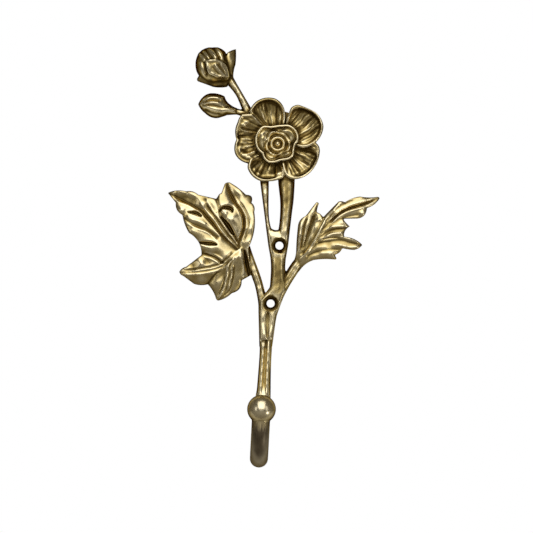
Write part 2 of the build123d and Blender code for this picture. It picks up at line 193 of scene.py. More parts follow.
RIGHT_RIBS = [
    [(16.0, 9.5), (22.0, 11.6), (27.5, 12.4), (32.5, 12.6)],
    [(12.1, 5.9), (19.0, 14.0), (22.1, 19.8), (24.6, 23.6), (31.0, 29.7), (36.0, 32.6),
     (43.8, 35.2), (52.0, 38.4)],
    [(14.2, 11.0), (16.7, 19.4), (18.8, 26.0), (20.0, 30.4), (21.4, 35.8)],
    [(23.0, 19.4), (26.0, 21.2), (29.4, 22.4), (36.4, 23.4)],
    [(21.5, 15.8), (28.2, 16.7), (33.2, 17.1), (37.9, 15.8), (43.5, 14.8)],
]
RIGHT_VEINS = [
    [(15.2, 11.7), (17.4, 15.6), (19.8, 19.4), (22.6, 24.2), (24.2, 28.6)],
    [(25.2, 22.2), (29.4, 26.0), (34.0, 28.4), (41.0, 29.8)],
]

# Carving on the leaves: a line, its width and its rise, which is below nought for a groove
LEFT_CARVING = [
    ([(-25.6, 17.0), (-32.0, 24.7), (-37.6, 30.9), (-40.0, 32.6), (-44.0, 34.9), (-49.0, 36.6)], 0.45, 0.4),
    ([(-18.9, 13.2), (-25.2, 19.6), (-30.7, 27.5), (-35.6, 33.3), (-37.9, 37.6)], 0.5, 0.4),
    ([(-17.9, 14.2), (-23.4, 21.4), (-27.7, 27.3), (-31.0, 31.6), (-34.2, 36.8)], 0.5, 0.45),
    ([(-45.4, 26.8), (-42.0, 24.5), (-38.3, 22.8), (-33.7, 21.0), (-28.6, 17.0)], 0.5, 0.4),
    ([(-44.6, 29.4), (-41.0, 27.5), (-37.6, 26.4), (-34.0, 24.8)], 0.8, 0.4),
    ([(-36.2, 9.2), (-30.8, 7.4), (-27.0, 5.0)], 0.45, 0.35),
    ([(-35.6, 11.6), (-29.9, 9.8), (-25.6, 6.9)], 0.45, 0.35),
    ([(-20.0, 12.4), (-26.0, 6.6), (-30.4, 4.4), (-38.4, 3.0), (-45.5, 2.0)], 0.5, -0.7),
    ([(-20.4, 5.2), (-20.8, -0.4), (-22.6, -7.2), (-26.4, -11.4)], 0.5, -0.6),
    ([(-24.8, -0.6), (-26.6, -6.6), (-28.4, -10.5)], 0.45, -0.5),
    ([(-18.0, 10.6), (-24.6, 4.1), (-29.4, 1.8), (-38.2, 0.3), (-46.5, 0.2)], 0.45, 0.4),
    ([(-19.2, 10.2), (-23.3, 5.0), (-24.0, -0.2), (-25.8, -7.0), (-28.8, -12.0)], 0.6, 0.5),
    ([(-17.9, 10.2), (-21.4, 5.0), (-21.8, -0.4), (-23.6, -7.2)], 0.45, 0.3),
    ([(-17.2, 15.4), (-15.4, 20.0), (-14.4, 24.0), (-14.6, 28.6), (-16.2, 32.6), (-19.0, 36.6),
      (-23.4, 45.0)], 0.5, 0.4),
    ([(-16.4, 15.8), (-14.4, 20.4), (-13.4, 24.2), (-13.6, 28.8), (-15.4, 33.0), (-18.2, 37.0)], 0.4, -0.3),
    ([(-19.4, 16.6), (-17.8, 20.4), (-16.7, 24.0), (-16.8, 28.0), (-18.2, 31.6), (-21.0, 35.4)], 0.5, 0.3),
    ([(-17.4, 9.8), (-15.6, 3.2), (-16.2, -2.2)], 0.6, 0.4),
    ([(-20.8, 20.2), (-18.8, 16.8)], 0.4, -0.4),
    ([(-51.0, 40.3), (-45.0, 38.9), (-39.0, 36.3)], 1.8, -0.5),
]

# Slits between the lobules, listed towards their wider end
LEFT_SLITS = [
    ([(-43.4, 31.3), (-40.4, 31.0), (-38.4, 30.4), (-36.8, 29.2)], 0.8, -1.6),
    ([(-39.0, 16.2), (-34.0, 15.6), (-31.0, 15.4), (-29.2, 14.9)], 0.9, -1.7),
    ([(-27.8, 31.6), (-26.4, 33.3), (-24.0, 33.6), (-21.9, 32.9), (-21.3, 31.4)], 0.85, -1.7),
    ([(-27.0, 28.6), (-24.6, 26.0), (-22.9, 23.7), (-21.5, 21.2), (-20.4, 20.2)], 0.95, -1.9),
    ([(-15.2, 12.0), (-14.2, 7.0), (-13.3, 2.5), (-12.8, -0.6)], 1.0, -2.0),
]

# Soft swellings of the leaves as (x, z, spread, rise)
LEFT_SWELLINGS = [
    (-11.2, 38.6, 4.2, -1.3), (-46.6, 32.4, 1.9, 0.8), (-41.8, 26.8, 2.2, 0.6), (-35.0, 36.0, 1.6, 0.6),
    (-36.7, 5.8, 1.8, 0.6), (-41.2, 4.0, 1.8, -0.7), (-34.0, 6.6, 1.6, -0.5), (-37.0, -2.6, 2.2, 0.4),
    (-44.0, -1.6, 2.4, 0.5), (-24.8, 30.4, 1.0, 0.6), (-22.0, 27.6, 2.2, 0.5),
    (-16.8, -0.5, 2.4, 0.5), (-32.0, 12.0, 2.4, 0.5), (-41.5, 21.8, 2.4, 0.5), (-20.0, 38.5, 2.2, -0.5),
    (-28.8, -4.6, 2.4, 0.5), (-13.0, 24.0, 2.4, 0.4), (-12.4, 17.0, 2.0, 0.4), (-46.0, 38.0, 2.4, -0.4),
]

RIGHT_CARVING = [
    ([(9.0, 1.5), (13.5, 7.5), (18.6, 14.2), (22.0, 20.5), (24.0, 24.5)], 1.3, 0.7),
    ([(13.6, 12.0), (16.0, 19.4), (18.2, 26.4), (19.6, 30.6)], 0.4, -0.7),
    ([(26.6, 25.2), (31.8, 30.2), (36.8, 33.0), (44.2, 35.2), (50.0, 37.4)], 0.4, -0.6),
    ([(23.0, 17.4), (28.0, 18.5), (33.0, 18.4)], 0.4, -0.7),
    ([(12.1, 5.9), (18.4, 14.4), (21.4, 20.2), (23.4, 24.2), (26.7, 28.9), (33.0, 35.8)], 0.8, 0.45),
    ([(25.5, 25.4), (31.1, 31.0), (35.9, 34.0), (43.6, 36.5), (51.0, 38.6)], 0.5, 0.5),
    ([(27.6, 24.8), (32.5, 29.2), (37.5, 31.8), (44.8, 33.8), (48.6, 35.8)], 0.5, 0.45),
    ([(24.4, 25.3), (28.8, 30.8), (33.6, 35.0), (40.0, 37.6)], 0.45, -0.6),
    ([(24.4, 21.5), (28.2, 23.8), (37.2, 24.0)], 0.5, 0.45),
    ([(24.8, 18.4), (28.2, 20.3), (34.0, 20.8)], 0.55, 0.5),
    ([(30.0, 18.5), (34.5, 18.6), (38.5, 17.4), (42.0, 16.0)], 0.5, 0.4),
    ([(30.0, 15.2), (34.0, 14.3), (38.0, 13.6), (42.0, 14.2)], 0.5, 0.4),
    ([(12.9, 12.0), (14.0, 19.4), (14.8, 24.8), (16.2, 29.0)], 0.45, -0.8),
    ([(12.0, 10.0), (12.2, 18.0), (13.2, 26.0)], 0.6, 0.4),
    ([(19.6, 26.6), (24.0, 28.2)], 0.5, 0.4),
]
RIGHT_SWELLINGS = [
    (44.0, 30.6, 1.6, 0.6), (30.6, 32.0, 2.2, 0.5), (27.4, 11.6, 2.8, 0.6), (33.0, 12.0, 1.6, 0.4),
    (9.4, 2.4, 4.2, -1.4), (12.6, 20.0, 1.8, 0.5), (46.5, 38.4, 2.0, -0.4), (23.0, 14.6, 2.2, -0.4),
    (27.0, 14.6, 1.8, -0.5), (23.6, 11.0, 1.8, 0.4), (31.6, 10.4, 1.6, -0.4),
]

# Leaves: outline, ribs, ridges, veins, carving, slits, swellings, crown of the dome, and share of the fold
LEAVES = [
    ("left_leaf", LEFT_LEAF, LEFT_RIBS, LEFT_RIDGES, LEFT_VEINS, LEFT_CARVING, LEFT_SLITS, LEFT_SWELLINGS,
     (-29.0, 16.0), 1.0),
    ("right_leaf", RIGHT_LEAF, RIGHT_RIBS, [], RIGHT_VEINS, RIGHT_CARVING, [], RIGHT_SWELLINGS,
     (27.0, 20.0), 0.45),
]
LEAF_DOME_R = 140.0
LEAF_SUNK = 1.2
LEAF_FOLD_REACH = 5.5
LEAF_RIDGE_RISE = 1.3
VEIN_REACH = 1.0
VEIN_DEPTH = 0.3
FOLDED_VEIN_DEPTH = 0.65

# Petals, lowest first: outline, middle and reach of the hollow, main flutes, point the fine flutes fan from
FLOWER = (1.3, 65.3)
PETALS = [
    ([(-10.0, 57.0, 0.2), (-13.5, 55.5, 0.4), (-18.0, 57.5, 0.6), (-20.4, 62.5, 0.35), (-19.3, 67.5, 0.9),
      (-18.8, 76.0, 0.4), (-16.5, 80.3, 0.0), (-9.0, 80.5, 0.0), (0.0, 66.0, 0.0)], (-9.6, 67.6), 9.8,
     [((-9.5, 71.4), (-18.0, 74.2)), ((-10.0, 67.8), (-19.0, 68.0)), ((-9.6, 63.4), (-18.2, 60.8))],
     (4.0, 67.0)),
    ([(-13.0, 81.5, 0.5), (-9.0, 86.8, 1.0), (0.0, 88.0, 0.75), (4.6, 82.8, 0.3), (5.0, 77.0, 0.0),
      (2.0, 66.0, 0.0)], (-3.6, 78.6), 8.8,
     [((-6.4, 75.4), (-10.2, 83.6)), ((-3.4, 75.2), (-4.8, 86.0)), ((0.6, 75.4), (0.6, 86.0))],
     (-0.5, 60.0)),
    ([(5.0, 52.0, 0.3), (4.0, 48.2, 0.35), (-3.0, 46.6, 0.1), (-7.5, 46.8, 0.8), (-13.3, 52.0, 0.7),
      (-12.8, 56.5, 0.65), (-9.0, 59.0, 0.0), (0.0, 64.0, 0.0)], (-4.0, 55.6), 8.4,
     [((-6.6, 58.0), (-12.0, 53.2)), ((-3.8, 56.0), (-7.2, 48.6)), ((-0.4, 55.4), (-0.4, 47.6))],
     (-1.0, 63.0)),
    ([(20.5, 65.8, 0.5), (22.4, 62.0, 0.6), (19.8, 53.8, 1.4), (10.0, 47.6, 0.95), (4.5, 50.5, 0.0),
      (3.0, 60.0, 0.0), (14.0, 66.5, 0.0)], (12.4, 57.4), 8.9,
     [((10.8, 62.6), (20.2, 60.4)), ((9.6, 60.0), (18.0, 54.6)), ((7.6, 58.0), (13.6, 50.4))],
     (2.0, 65.0)),
    ([(5.5, 76.0, 0.3), (8.0, 83.3, 0.35), (11.5, 84.8, 0.3), (20.0, 81.2, 0.85), (24.2, 74.0, 1.25),
      (19.0, 65.0, 0.45), (13.5, 63.2, 0.0), (6.0, 66.0, 0.0)], (13.8, 74.0), 9.4,
     [((8.6, 75.4), (13.2, 82.2)), ((11.6, 72.2), (19.2, 79.0)), ((12.6, 68.8), (21.2, 73.4))],
     (-8.0, 54.0)),
]

# Folds and hollows of single petals, by their place in the list
PETAL_FOLDS = {
    0: [
        ([(-19.6, 68.4), (-15.0, 69.6), (-10.4, 69.6)], 0.7, -0.9),
        ([(-19.2, 66.6), (-15.0, 67.6), (-11.0, 67.4)], 0.7, 0.5),
        ([(-17.6, 61.4), (-13.6, 62.2)], 1.4, -0.6),
    ],
    4: [([(8.4, 81.6), (14.0, 82.4), (19.0, 79.6)], 1.2, -0.5)],
}
PETAL_RIM = 7.0
PETAL_STEP = 0.35
PETAL_TILT = 0.07
PETAL_FLOOR = 4.0
PETAL_SKIN = 2.4
PETAL_LIP = 0.8
PETAL_PROUD = 0.3
FLUTE_FADE = 0.6
FINE_FLUTE = 0.18
FINE_FLUTE_PITCH = 1.4
FLOWER_BACK_R = 16.7
FLOWER_BACK_SUNK = 0.2
FLOWER_REACH = 26.0
CUP = [
    (-5.0, 74.3, 0.0), (-2.0, 74.0, 0.2), (6.5, 74.8, 1.6), (11.8, 67.8, 0.3), (10.5, 65.3, -0.3),
    (9.5, 60.0, 0.7), (5.5, 57.0, 0.0), (2.5, 56.6, 0.4), (-3.0, 55.6, 0.8), (-6.5, 60.3, 0.85),
    (-9.9, 66.0, 0.8), (-8.0, 72.5, 0.4),
]
CUP_RIM = 11.0
CUP_FLOOR = 7.0
CUP_HOLLOW_R = 8.6
CUP_RIM_HALF = 0.6
CUP_FOOT = 3.0
CUP_BACK = 1.0
CUP_DISH_DROP = 1.6
CUP_RIM_ROUND = 0.4

# Swirl in the cup: its radius, and its waves as (swing, count, phase)
SWIRL_R = 5.5
SWIRL_WAVES = [(0.6, 3, 0.6), (0.35, 5, 2.0)]

# Small swellings inside the cup as (x, z, spread, rise)
CUP_SWELLINGS = [
    (-4.0, 67.5, 1.3, 0.9), (-3.8, 62.4, 1.4, 0.8), (-0.6, 59.6, 1.6, 1.0), (6.2, 61.6, 1.5, 0.8),
    (7.2, 66.6, 1.5, 0.7), (4.6, 71.0, 1.4, 0.7), (1.2, 71.4, 1.2, 0.7), (-6.6, 70.0, 1.4, 0.6),
]

# Buds
BIG_BUD = (-31.0, 104.8)
BIG_BUD_R = 8.9
BIG_BUD_AXIS = 3.0
BIG_BUD_BODY = [
    (-22.5, 97.0, 0.2), (-22.3, 104.0, 0.5), (-25.0, 111.6, 1.0), (-32.0, 113.7, 0.9), (-38.4, 110.6, 0.9),
    (-39.4, 102.0, 0.4), (-36.0, 97.2, 0.9), (-28.0, 95.4, 0.2),
]
FRONT_SEPAL = [
    (-22.5, 98.5, 0.3), (-24.5, 104.5, 0.3), (-29.0, 107.2, 0.3), (-34.8, 106.6, 0.3), (-33.0, 100.0, 0.0),
    (-29.0, 98.0, 0.0),
]
RIGHT_SEPAL = [
    (-20.8, 98.0, -0.4), (-19.8, 105.0, 0.2), (-19.6, 113.0, 0.2), (-23.8, 111.0, 0.3), (-24.4, 103.0, 0.0),
]
LOW_SEPAL = [
    (-24.0, 94.0, 0.3), (-31.0, 93.9, 0.0), (-38.6, 96.7, 0.2), (-39.1, 97.9, 0.0), (-37.9, 99.7, -0.3),
    (-30.0, 100.0, 0.0), (-22.0, 98.0, 0.0),
]
SEPAL_DOME_R = 20.0
SEPAL_SKIN = 3.0
SEPAL_PROUD = 0.8
SEPAL_DISH = 0.3
SIDE_SEPAL_SUNK = 3.0
BIG_BUD_CARVING = [
    ([(-39.2, 112.0), (-37.0, 109.2), (-34.9, 106.4)], 0.6, 0.8),
    ([(-38.2, 112.6), (-36.0, 109.9), (-33.8, 107.2)], 0.5, -0.6),
    ([(-36.0, 113.6), (-33.4, 110.4), (-31.4, 107.4)], 0.6, -0.9),
    ([(-34.0, 114.2), (-31.2, 110.6), (-29.0, 107.4)], 0.6, 0.6),
    ([(-32.0, 114.4), (-29.4, 110.8), (-27.4, 107.2)], 0.6, -0.9),
    ([(-29.8, 114.2), (-27.4, 110.8), (-25.8, 107.0)], 0.5, 0.6),
    ([(-27.8, 113.8), (-25.8, 110.6), (-24.8, 106.6)], 0.6, -0.9),
    ([(-35.6, 106.4), (-34.8, 102.9), (-34.0, 99.0)], 0.6, -0.9),
    ([(-37.4, 106.4), (-36.6, 102.9), (-35.6, 99.4)], 0.6, 0.5),
]
SEPAL_CARVING = [
    ([(-30.2, 105.4), (-28.6, 102.8), (-25.6, 99.8)], 0.6, 0.45),
    ([(-28.6, 105.4), (-27.0, 102.8), (-24.8, 100.2)], 0.5, -0.5),
    ([(-27.2, 105.0), (-25.8, 102.6), (-24.2, 100.0)], 0.5, 0.4),
    ([(-31.4, 103.6), (-29.4, 101.2), (-26.6, 99.2)], 0.5, -0.4),
]
SMALL_BUD_BODY = [
    (-38.5, 85.2, 0.3), (-36.0, 89.0, 0.6), (-31.0, 90.8, 0.4), (-25.2, 89.2, -0.5), (-22.2, 85.0, -0.2),
    (-19.0, 83.4, 0.0), (-18.6, 80.2, 0.0), (-24.0, 79.9, 0.1), (-29.0, 78.3, 0.7), (-35.0, 80.8, 0.4),
]
SMALL_BUD_R = 6.2
SMALL_BUD_AXIS = 2.5
SMALL_BUD_CARVING = [
    ([(-36.4, 86.6), (-32.0, 88.6), (-27.6, 88.4)], 0.6, 0.5),
    ([(-36.6, 85.6), (-32.0, 87.4), (-26.8, 86.8)], 0.5, -0.7),
    ([(-35.8, 85.2), (-31.0, 86.0), (-26.4, 85.0)], 0.6, 0.5),
    ([(-37.0, 84.8), (-31.0, 84.4), (-26.4, 83.4), (-22.6, 84.2)], 0.5, -0.7),
    ([(-36.4, 84.2), (-31.0, 82.8), (-26.4, 81.8), (-22.0, 82.4)], 0.6, 0.5),
    ([(-35.6, 83.0), (-31.4, 81.0), (-27.0, 80.2)], 0.5, -0.6),
]

# Stems: left and right edge from foot to head, front at the foot, ridges, sink by the head, squareness
STEMS = [
    ("left_stem",
     [(-7.9, -36.0), (-8.3, -20.0), (-8.5, -14.0), (-10.0, -6.0), (-12.0, 0.0), (-14.5, 11.0),
      (-15.6, 14.0)],
     [(-4.0, -36.0), (-4.3, -20.0), (-4.4, -12.0), (-6.0, -5.0), (-7.5, 0.0), (-10.8, 9.0), (-12.6, 14.4)],
     4.7, 0.2, 0.5, 2.6),
    ("right_stem",
     [(-5.0, -36.0), (-3.4, -21.0), (0.6, -8.0), (5.6, 1.6), (10.0, 8.0), (14.4, 13.0)],
     [(-1.4, -36.0), (1.0, -20.0), (4.0, -12.0), (7.5, -5.3), (11.5, 1.0), (14.6, 5.4), (16.6, 10.6)],
     4.1, 0.2, -0.9, 2.6),
    ("left_prong",
     [(-3.6, -14.0), (-2.6, -6.0), (-2.1, 2.0), (-2.3, 8.0), (-3.5, 15.5), (-5.6, 32.0), (-7.4, 46.0),
      (-8.0, 52.0)],
     [(0.6, -14.0), (1.0, 2.0), (1.0, 8.0), (0.0, 15.5), (-1.8, 22.5), (-3.1, 30.0), (-3.1, 46.0),
      (-3.0, 52.0)],
     4.8, 0.2, 0.0, 2.6),
    ("right_prong",
     [(-3.6, -15.5), (-1.4, 0.0), (-0.6, 8.0), (0.8, 18.0), (2.2, 26.0), (2.6, 36.0), (1.6, 46.0),
      (1.4, 53.0)],
     [(2.0, -15.5), (4.4, -3.0), (5.0, 5.0), (6.6, 15.0), (8.4, 30.0), (9.4, 38.0), (9.9, 47.0),
      (10.0, 53.0)],
     5.2, 0.2, 0.0, 2.6),
    ("big_stalk",
     [(-14.4, 77.0), (-18.2, 87.0), (-20.5, 91.2), (-24.2, 95.6), (-26.0, 98.0)],
     [(-9.0, 78.5), (-12.4, 84.2), (-16.0, 90.3), (-20.4, 98.0), (-21.6, 101.0)],
     5.2, 0.2, 0.0, 2.6),
    ("small_stalk",
     [(-10.0, 76.0), (-18.5, 80.0), (-24.0, 80.4), (-26.0, 81.6)],
     [(-9.0, 80.2), (-15.5, 82.4), (-20.0, 83.5), (-26.0, 85.6)],
     5.0, 0.2, 0.0, 2.6),
    ("trunk",
     [(-9.7, -62.0), (-9.2, -58.0), (-8.5, -50.0), (-7.8, -40.0), (-7.6, -31.5)],
     [(-2.2, -62.0), (-2.1, -50.0), (-1.9, -43.0), (-1.6, -38.0), (-1.3, -31.5)],
     7.0, 1.05, 2.5, 6.0),
]
STEM_SIDE = 0.8
STEM_BACK = 0.3

# Ridges on a stem as shares of its half width: how far out they run, how wide they are, and their shift
STEM_RIDGE_OUT = 0.45
STEM_RIDGE_HALF = 0.24
STEM_RIDGE_SHIFT = 0.03

# Band between the prongs that the screws go through, and the web below it
MIDDLE_BAND = [
    (-4.7, 24.4, 0.0), (-4.1, 20.0, 0.0), (-3.4, 14.5, 0.0), (-2.2, 8.0, 0.0), (-2.0, 2.0, 0.0),
    (-2.2, -4.0, 0.0), (-2.8, -6.5, 0.0), (-4.3, -8.6, 0.0), (-7.6, -12.0, 0.0), (-8.1, -20.0, 0.0),
    (-7.6, -33.2, 0.0), (-1.4, -32.4, 0.0), (0.9, -20.5, 0.0), (3.0, -14.5, 0.0), (5.6, -8.0, 0.0),
    (5.4, -2.0, 0.0), (5.1, 4.0, 0.0), (5.4, 8.0, 0.0), (6.6, 14.5, 0.0), (7.2, 20.0, 0.0),
    (7.6, 24.4, 0.0), (4.4, 24.3, -0.6), (0.0, 22.3, -0.3), (-3.4, 24.5, 0.0),
]
BAND_CARVING = [
    ([(3.4, 9.5), (3.2, 3.0), (3.5, -4.0)], 0.5, 0.35),
    ([(-0.6, 8.5), (-0.4, 1.0), (-1.2, -6.0)], 0.5, 0.25),
]
BAND_HEAD_SINK = 0.4
BAND_FOOT_Z = -18.5
BAND_FOOT_RISE = 0.075
BAND_HOLLOW = [([(-3.8, -31.6), (-3.8, -26.0), (-3.7, -19.0)], 1.35, -0.9)]
LOW_WEB = [(-5.8, -34.0, 0.0), (-3.2, -34.0, 0.0), (0.0, -17.0, 0.0), (-2.2, -8.0, 0.0), (-6.4, -12.0, 0.0)]
WEB_HEIGHT = 3.9

# Bar from behind the trunk down to the curl as (x, z, half width, half depth)
TRUNK = [(-5.6, -55.0, 3.0, 2.7), (-6.0, -60.0, 3.6, 3.3), (-6.6, -68.0, 4.1, 3.9), (-7.1, -74.0, 4.4, 4.4)]
HOOK_FOOT_X = -7.3
CURL_Z = -77.0
ROD_R = 4.5
ROD_SIDES = 40
CURL_R = 14.0
CURL_STEPS = 40
HOOK_LEAN = 3.0
NECK_START = 2.0
NECK_STEPS = 6
BALL_RISE = 11.1

# Grid that the front is averaged on, and the height from which the curl stays out of the averages
AVERAGE_CELL = 0.3
AVERAGE_CAP = 13.0

# Reach of each average in mm, the height that counts in full, and its share of the level: hollows darker,
# partly patina and partly painted shade, and proud places brighter, partly rubbed bright and partly painted
# highlight
SHADE_AND_RUBBING_SCALES = ((0.7, 0.16, 0.2), (1.5, 0.45, 0.17), (4.0, 1.5, 0.06))

# Level from nought for dark to one for bright: at the start, on the back, and the share left on steep sides,
# which are darker partly as unpolished brass and partly as painted shade
WEAR_START = 0.55
WEAR_BACK = 0.35
STEEP_UNPOLISHED_AND_SHADED = 0.3

# Places made brighter or darker than the rest as (x, z, spread, change): partly rubbing, partly painted
# highlights and painted shade set where lit and shaded patches fall
RUBBED_AND_PAINTED_LIGHT = [
    (-13.0, 30.0, 5.0, 0.15), (-43.0, 33.0, 3.0, 0.15), (-41.0, 26.5, 3.0, 0.12), (-15.0, 75.0, 2.5, 0.3),
    (20.0, 76.0, 3.0, 0.15), (0.0, 19.5, 2.5, 0.2), (1.3, 65.3, 8.0, 0.07), (1.3, 65.3, 16.0, 0.05),
    (-8.0, 86.4, 2.5, -0.35), (-3.0, 87.8, 3.0, -0.4), (2.4, 86.2, 2.5, -0.35), (8.6, 84.0, 2.2, -0.3),
    (13.5, 84.4, 2.6, -0.3), (19.0, 81.8, 2.4, -0.25), (2.0, 0.0, 9.0, -0.1), (-4.5, 32.0, 6.0, -0.18),
    (7.0, 38.0, 8.0, -0.2), (-31.0, 105.0, 8.0, -0.14), (-30.0, 84.5, 6.0, -0.08), (35.0, 34.0, 8.0, 0.1),
    (3.0, 0.0, 6.0, -0.15), (-8.0, -2.0, 5.0, -0.12), (-2.0, -15.0, 6.0, -0.15), (6.0, 36.0, 6.0, -0.15),
    (-5.0, 36.0, 4.0, -0.1), (6.0, -4.0, 5.0, -0.08), (1.0, 6.0, 6.0, -0.15), (6.0, 44.0, 5.0, -0.1),
    (4.0, 27.0, 4.0, -0.1), (-5.0, -44.0, 8.0, 0.25), (-6.0, -57.0, 6.0, 0.25), (-4.0, -25.0, 6.0, 0.14),
    (1.0, -1.0, 7.0, -0.08), (6.0, 40.0, 8.0, -0.08), (-5.0, 34.0, 6.0, -0.06),
]

# How far proud of an average counts, and normals that count as steep and as the back
PROUD_LIMITS = (-1.5, 1.2)
STEEP_FACING = (0.05, 0.7)
BACK_FACING = 0.3

# For the painted shade, the flower is what stands out to within this of the petals' rims
FLOWER_DIP = 1.5

# Painted shade on the petals towards their rims, round the cup as (shade, radius, spread), and in the screw
# seats
PETAL_SHADE = 0.26
PETAL_SHADE_START = (13.0, 18.0)
CUP_SHADE = [(0.12, 9.7, 1.6)]
SEAT_SHADE_RIM = (0.1, 0.5)

# Painted highlight on the outer edges of the stems: how much, on which side, where it fades, and on what
# slope
EDGE_LIGHT = 0.6
EDGE_SIDE = (0.8, -0.6)
STEM_HEADS = (14.0, 8.0)
STEM_FEET = (-50.0, -44.0)
STEM_LEFT = (-16.0, -12.0)
EDGE_FACING = (0.75, 0.3)

# The curl is what stands out past this height below this level, and its ball ends at the second level
CURL_FRONT = 9.5
CURL_HEAD_Z = -50.0
BALL_FOOT_Z = -74.5
# Painted light and shade on the curl, partly polish of its front: the ball bright where it faces the front
# with painted shade at its rim and underside, the rod lighter at its edges with painted shade down its face;
# then the ball's share of satin
BALL_FRONT_LIGHT = 0.85
BALL_UNDER_SHADE = 0.3
BALL_SHADE_Z = (-66.5, -72.5)
ROD_EDGE_SHEEN = 0.4
ROD_FACE_SHADE = 0.36
BALL_SATIN = 0.4

# Finish: level of rubbing and painted light at which each colour is full, tint at grazing angles, mottling,
# pits, roughness and satin
PATINA_LEVEL = 0.05
AGED_LEVEL = 0.45
POLISHED_LEVEL = 0.85
EDGE_TINT = (0.12, 0.09, 0.05, 1.0)
MOTTLE_GRAIN = 260.0
MOTTLE_STRETCH = (1.0, 1.0, 0.4)
MOTTLE_SPREAD = 0.24
PIT_GRAIN = 900.0
PIT_STRENGTH = 0.08
PIT_DEPTH = 0.0002
DARK_ROUGHNESS = 0.40
BRIGHT_ROUGHNESS = 0.15
SATIN_ROUGHNESS = 0.06
SATIN_GREY = 0.38

# Softboxes as spot, size and power, and flags that only reflections show as spot, aim and size
SOFTBOXES = [
    ("key", (0.0, -1.28, 0.95), (1.6, 2.0), 14.8),
    ("left", (-1.15, -1.15, 0.1), (0.4, 0.8), 0.9),
    ("right", (1.05, -1.2, 0.2), (0.4, 0.9), 0.9),
    ("low", (0.68, -0.5, -0.45), (0.22, 0.22), 0.6),
    ("front", (0.0, -1.8, -0.1), (0.9, 0.7), 0.5),
]
FLAGS = [
    ("flag_front", (0.0, -2.2, 0.0), (0.0, 0.0, 0.0), (5.0, 5.0)),
    ("flag_left", (-2.0, -0.5, 0.0), (0.0, -0.5, 0.0), (3.8, 4.0)),
    ("flag_right", (2.0, -0.5, 0.0), (0.0, -0.5, 0.0), (3.8, 4.0)),
    ("flag_top", (0.0, -0.5, 2.0), (0.0, -0.5, 0.0), (4.0, 3.8)),
    ("flag_low", (0.0, -1.1, -0.52), (0.0, -1.1, 0.0), (3.8, 2.0)),
]
FLOOR_COLOUR = (0.86, 0.86, 0.86)
FLOOR_VARIATION = 0.02
FLAG_COLOUR = (0.25, 0.23, 0.195)
FLAG_VARIATION = 0.1
MATT_ROUGHNESS = 0.9
WORLD_LIGHT = 0.5
PICTURE_PLANE = 0.005


class HookSizes(bpy.types.PropertyGroup):
    """Sizes that shape the casting."""

    grain: bpy.props.FloatProperty(
        name="Mesh grain", description="Size of the cells that the casting is melted into",
        default=0.00028, min=0.0001, unit="LENGTH", precision=5)
    step: bpy.props.FloatProperty(
        name="Carving step", description="Pitch of the grid that the carving is worked on",
        default=0.0003, min=0.0001, unit="LENGTH", precision=5)
    triangles: bpy.props.IntProperty(
        name="Triangles", description="Most triangles that the finished casting may have", default=190000)
    bore: bpy.props.FloatProperty(
        name="Screw bore", description="Diameter of the screw holes", default=0.004, unit="LENGTH")
    countersink: bpy.props.FloatProperty(
        name="Countersink", description="Diameter of the cone for a screw head",
        default=0.0076, unit="LENGTH")
    ball: bpy.props.FloatProperty(
        name="Ball", description="Diameter of the ball at the end of the hook",
        default=0.0141, unit="LENGTH")
    leaf_skin: bpy.props.FloatProperty(
        name="Leaf thickness", description="Thickness of the leaves", default=0.003, unit="LENGTH")
    leaf_crown: bpy.props.FloatProperty(
        name="Leaf crown", description="How far the middle of a leaf stands out",
        default=0.007, unit="LENGTH")
    leaf_fold: bpy.props.FloatProperty(
        name="Leaf fold", description="How far the lobes rise from their ribs to their edges",
        default=0.0016, unit="LENGTH", precision=5)
    flute: bpy.props.FloatProperty(
        name="Flute depth", description="Depth of the flutes on the petals",
        default=0.0007, unit="LENGTH", precision=5)


class HookFinish(bpy.types.PropertyGroup):
    """Colours of the antique brass."""

    # Polished also shows the painted highlights, and patina the painted shade, where the level puts them
    polished: bpy.props.FloatVectorProperty(
        name="Polished", description="Brass where hands have rubbed it bright", subtype="COLOR", size=4,
        default=(0.92, 0.79, 0.49, 1.0), min=0.0, max=1.0)
    aged: bpy.props.FloatVectorProperty(
        name="Aged", description="Brass on the open faces", subtype="COLOR", size=4,
        default=(0.56, 0.425, 0.165, 1.0), min=0.0, max=1.0)
    patina: bpy.props.FloatVectorProperty(
        name="Patina", description="Dark finish left in the hollows", subtype="COLOR", size=4,
        default=(0.13, 0.082, 0.021, 1.0), min=0.0, max=1.0)


class HookStage(bpy.types.PropertyGroup):
    """Camera, floor and lights."""

    distance: bpy.props.FloatProperty(
        name="Camera distance", description="Distance of the camera from the wall",
        default=1.4, unit="LENGTH")
    frame_width: bpy.props.FloatProperty(
        name="Frame width", description="Width of the picture at the leaves", default=0.2665, unit="LENGTH")
    middle: bpy.props.FloatVectorProperty(
        name="Picture middle", description="Place on the wall at the middle of the picture", size=2,
        default=(-0.004275, 0.00405), unit="LENGTH", precision=5)
    floor_drop: bpy.props.FloatProperty(
        name="Floor drop", description="How far the floor lies below the screws",
        default=0.6, unit="LENGTH")
    floor_span: bpy.props.FloatProperty(
        name="Floor span", description="Side of the square floor", default=8.0, unit="LENGTH")


def smooth_line(points, per=8):
    """Curve through the points as a list of short straight runs."""
    first = (2 * points[0][0] - points[1][0], 2 * points[0][1] - points[1][1])
    last = (2 * points[-1][0] - points[-2][0], 2 * points[-1][1] - points[-2][1])
    knots = np.array([first, *points, last], float)
    out = []
    for i in range(1, len(knots) - 2):
        a, b, c, d = knots[i - 1:i + 3]
        for t in np.linspace(0, 1, per, endpoint=False):
            out.append(tuple(0.5 * (2 * b + (c - a) * t + (2 * a - 5 * b + 4 * c - d) * t**2
                                    + (3 * b - a - 3 * c + d) * t**3)))
    out.append(tuple(knots[-2]))
    return out


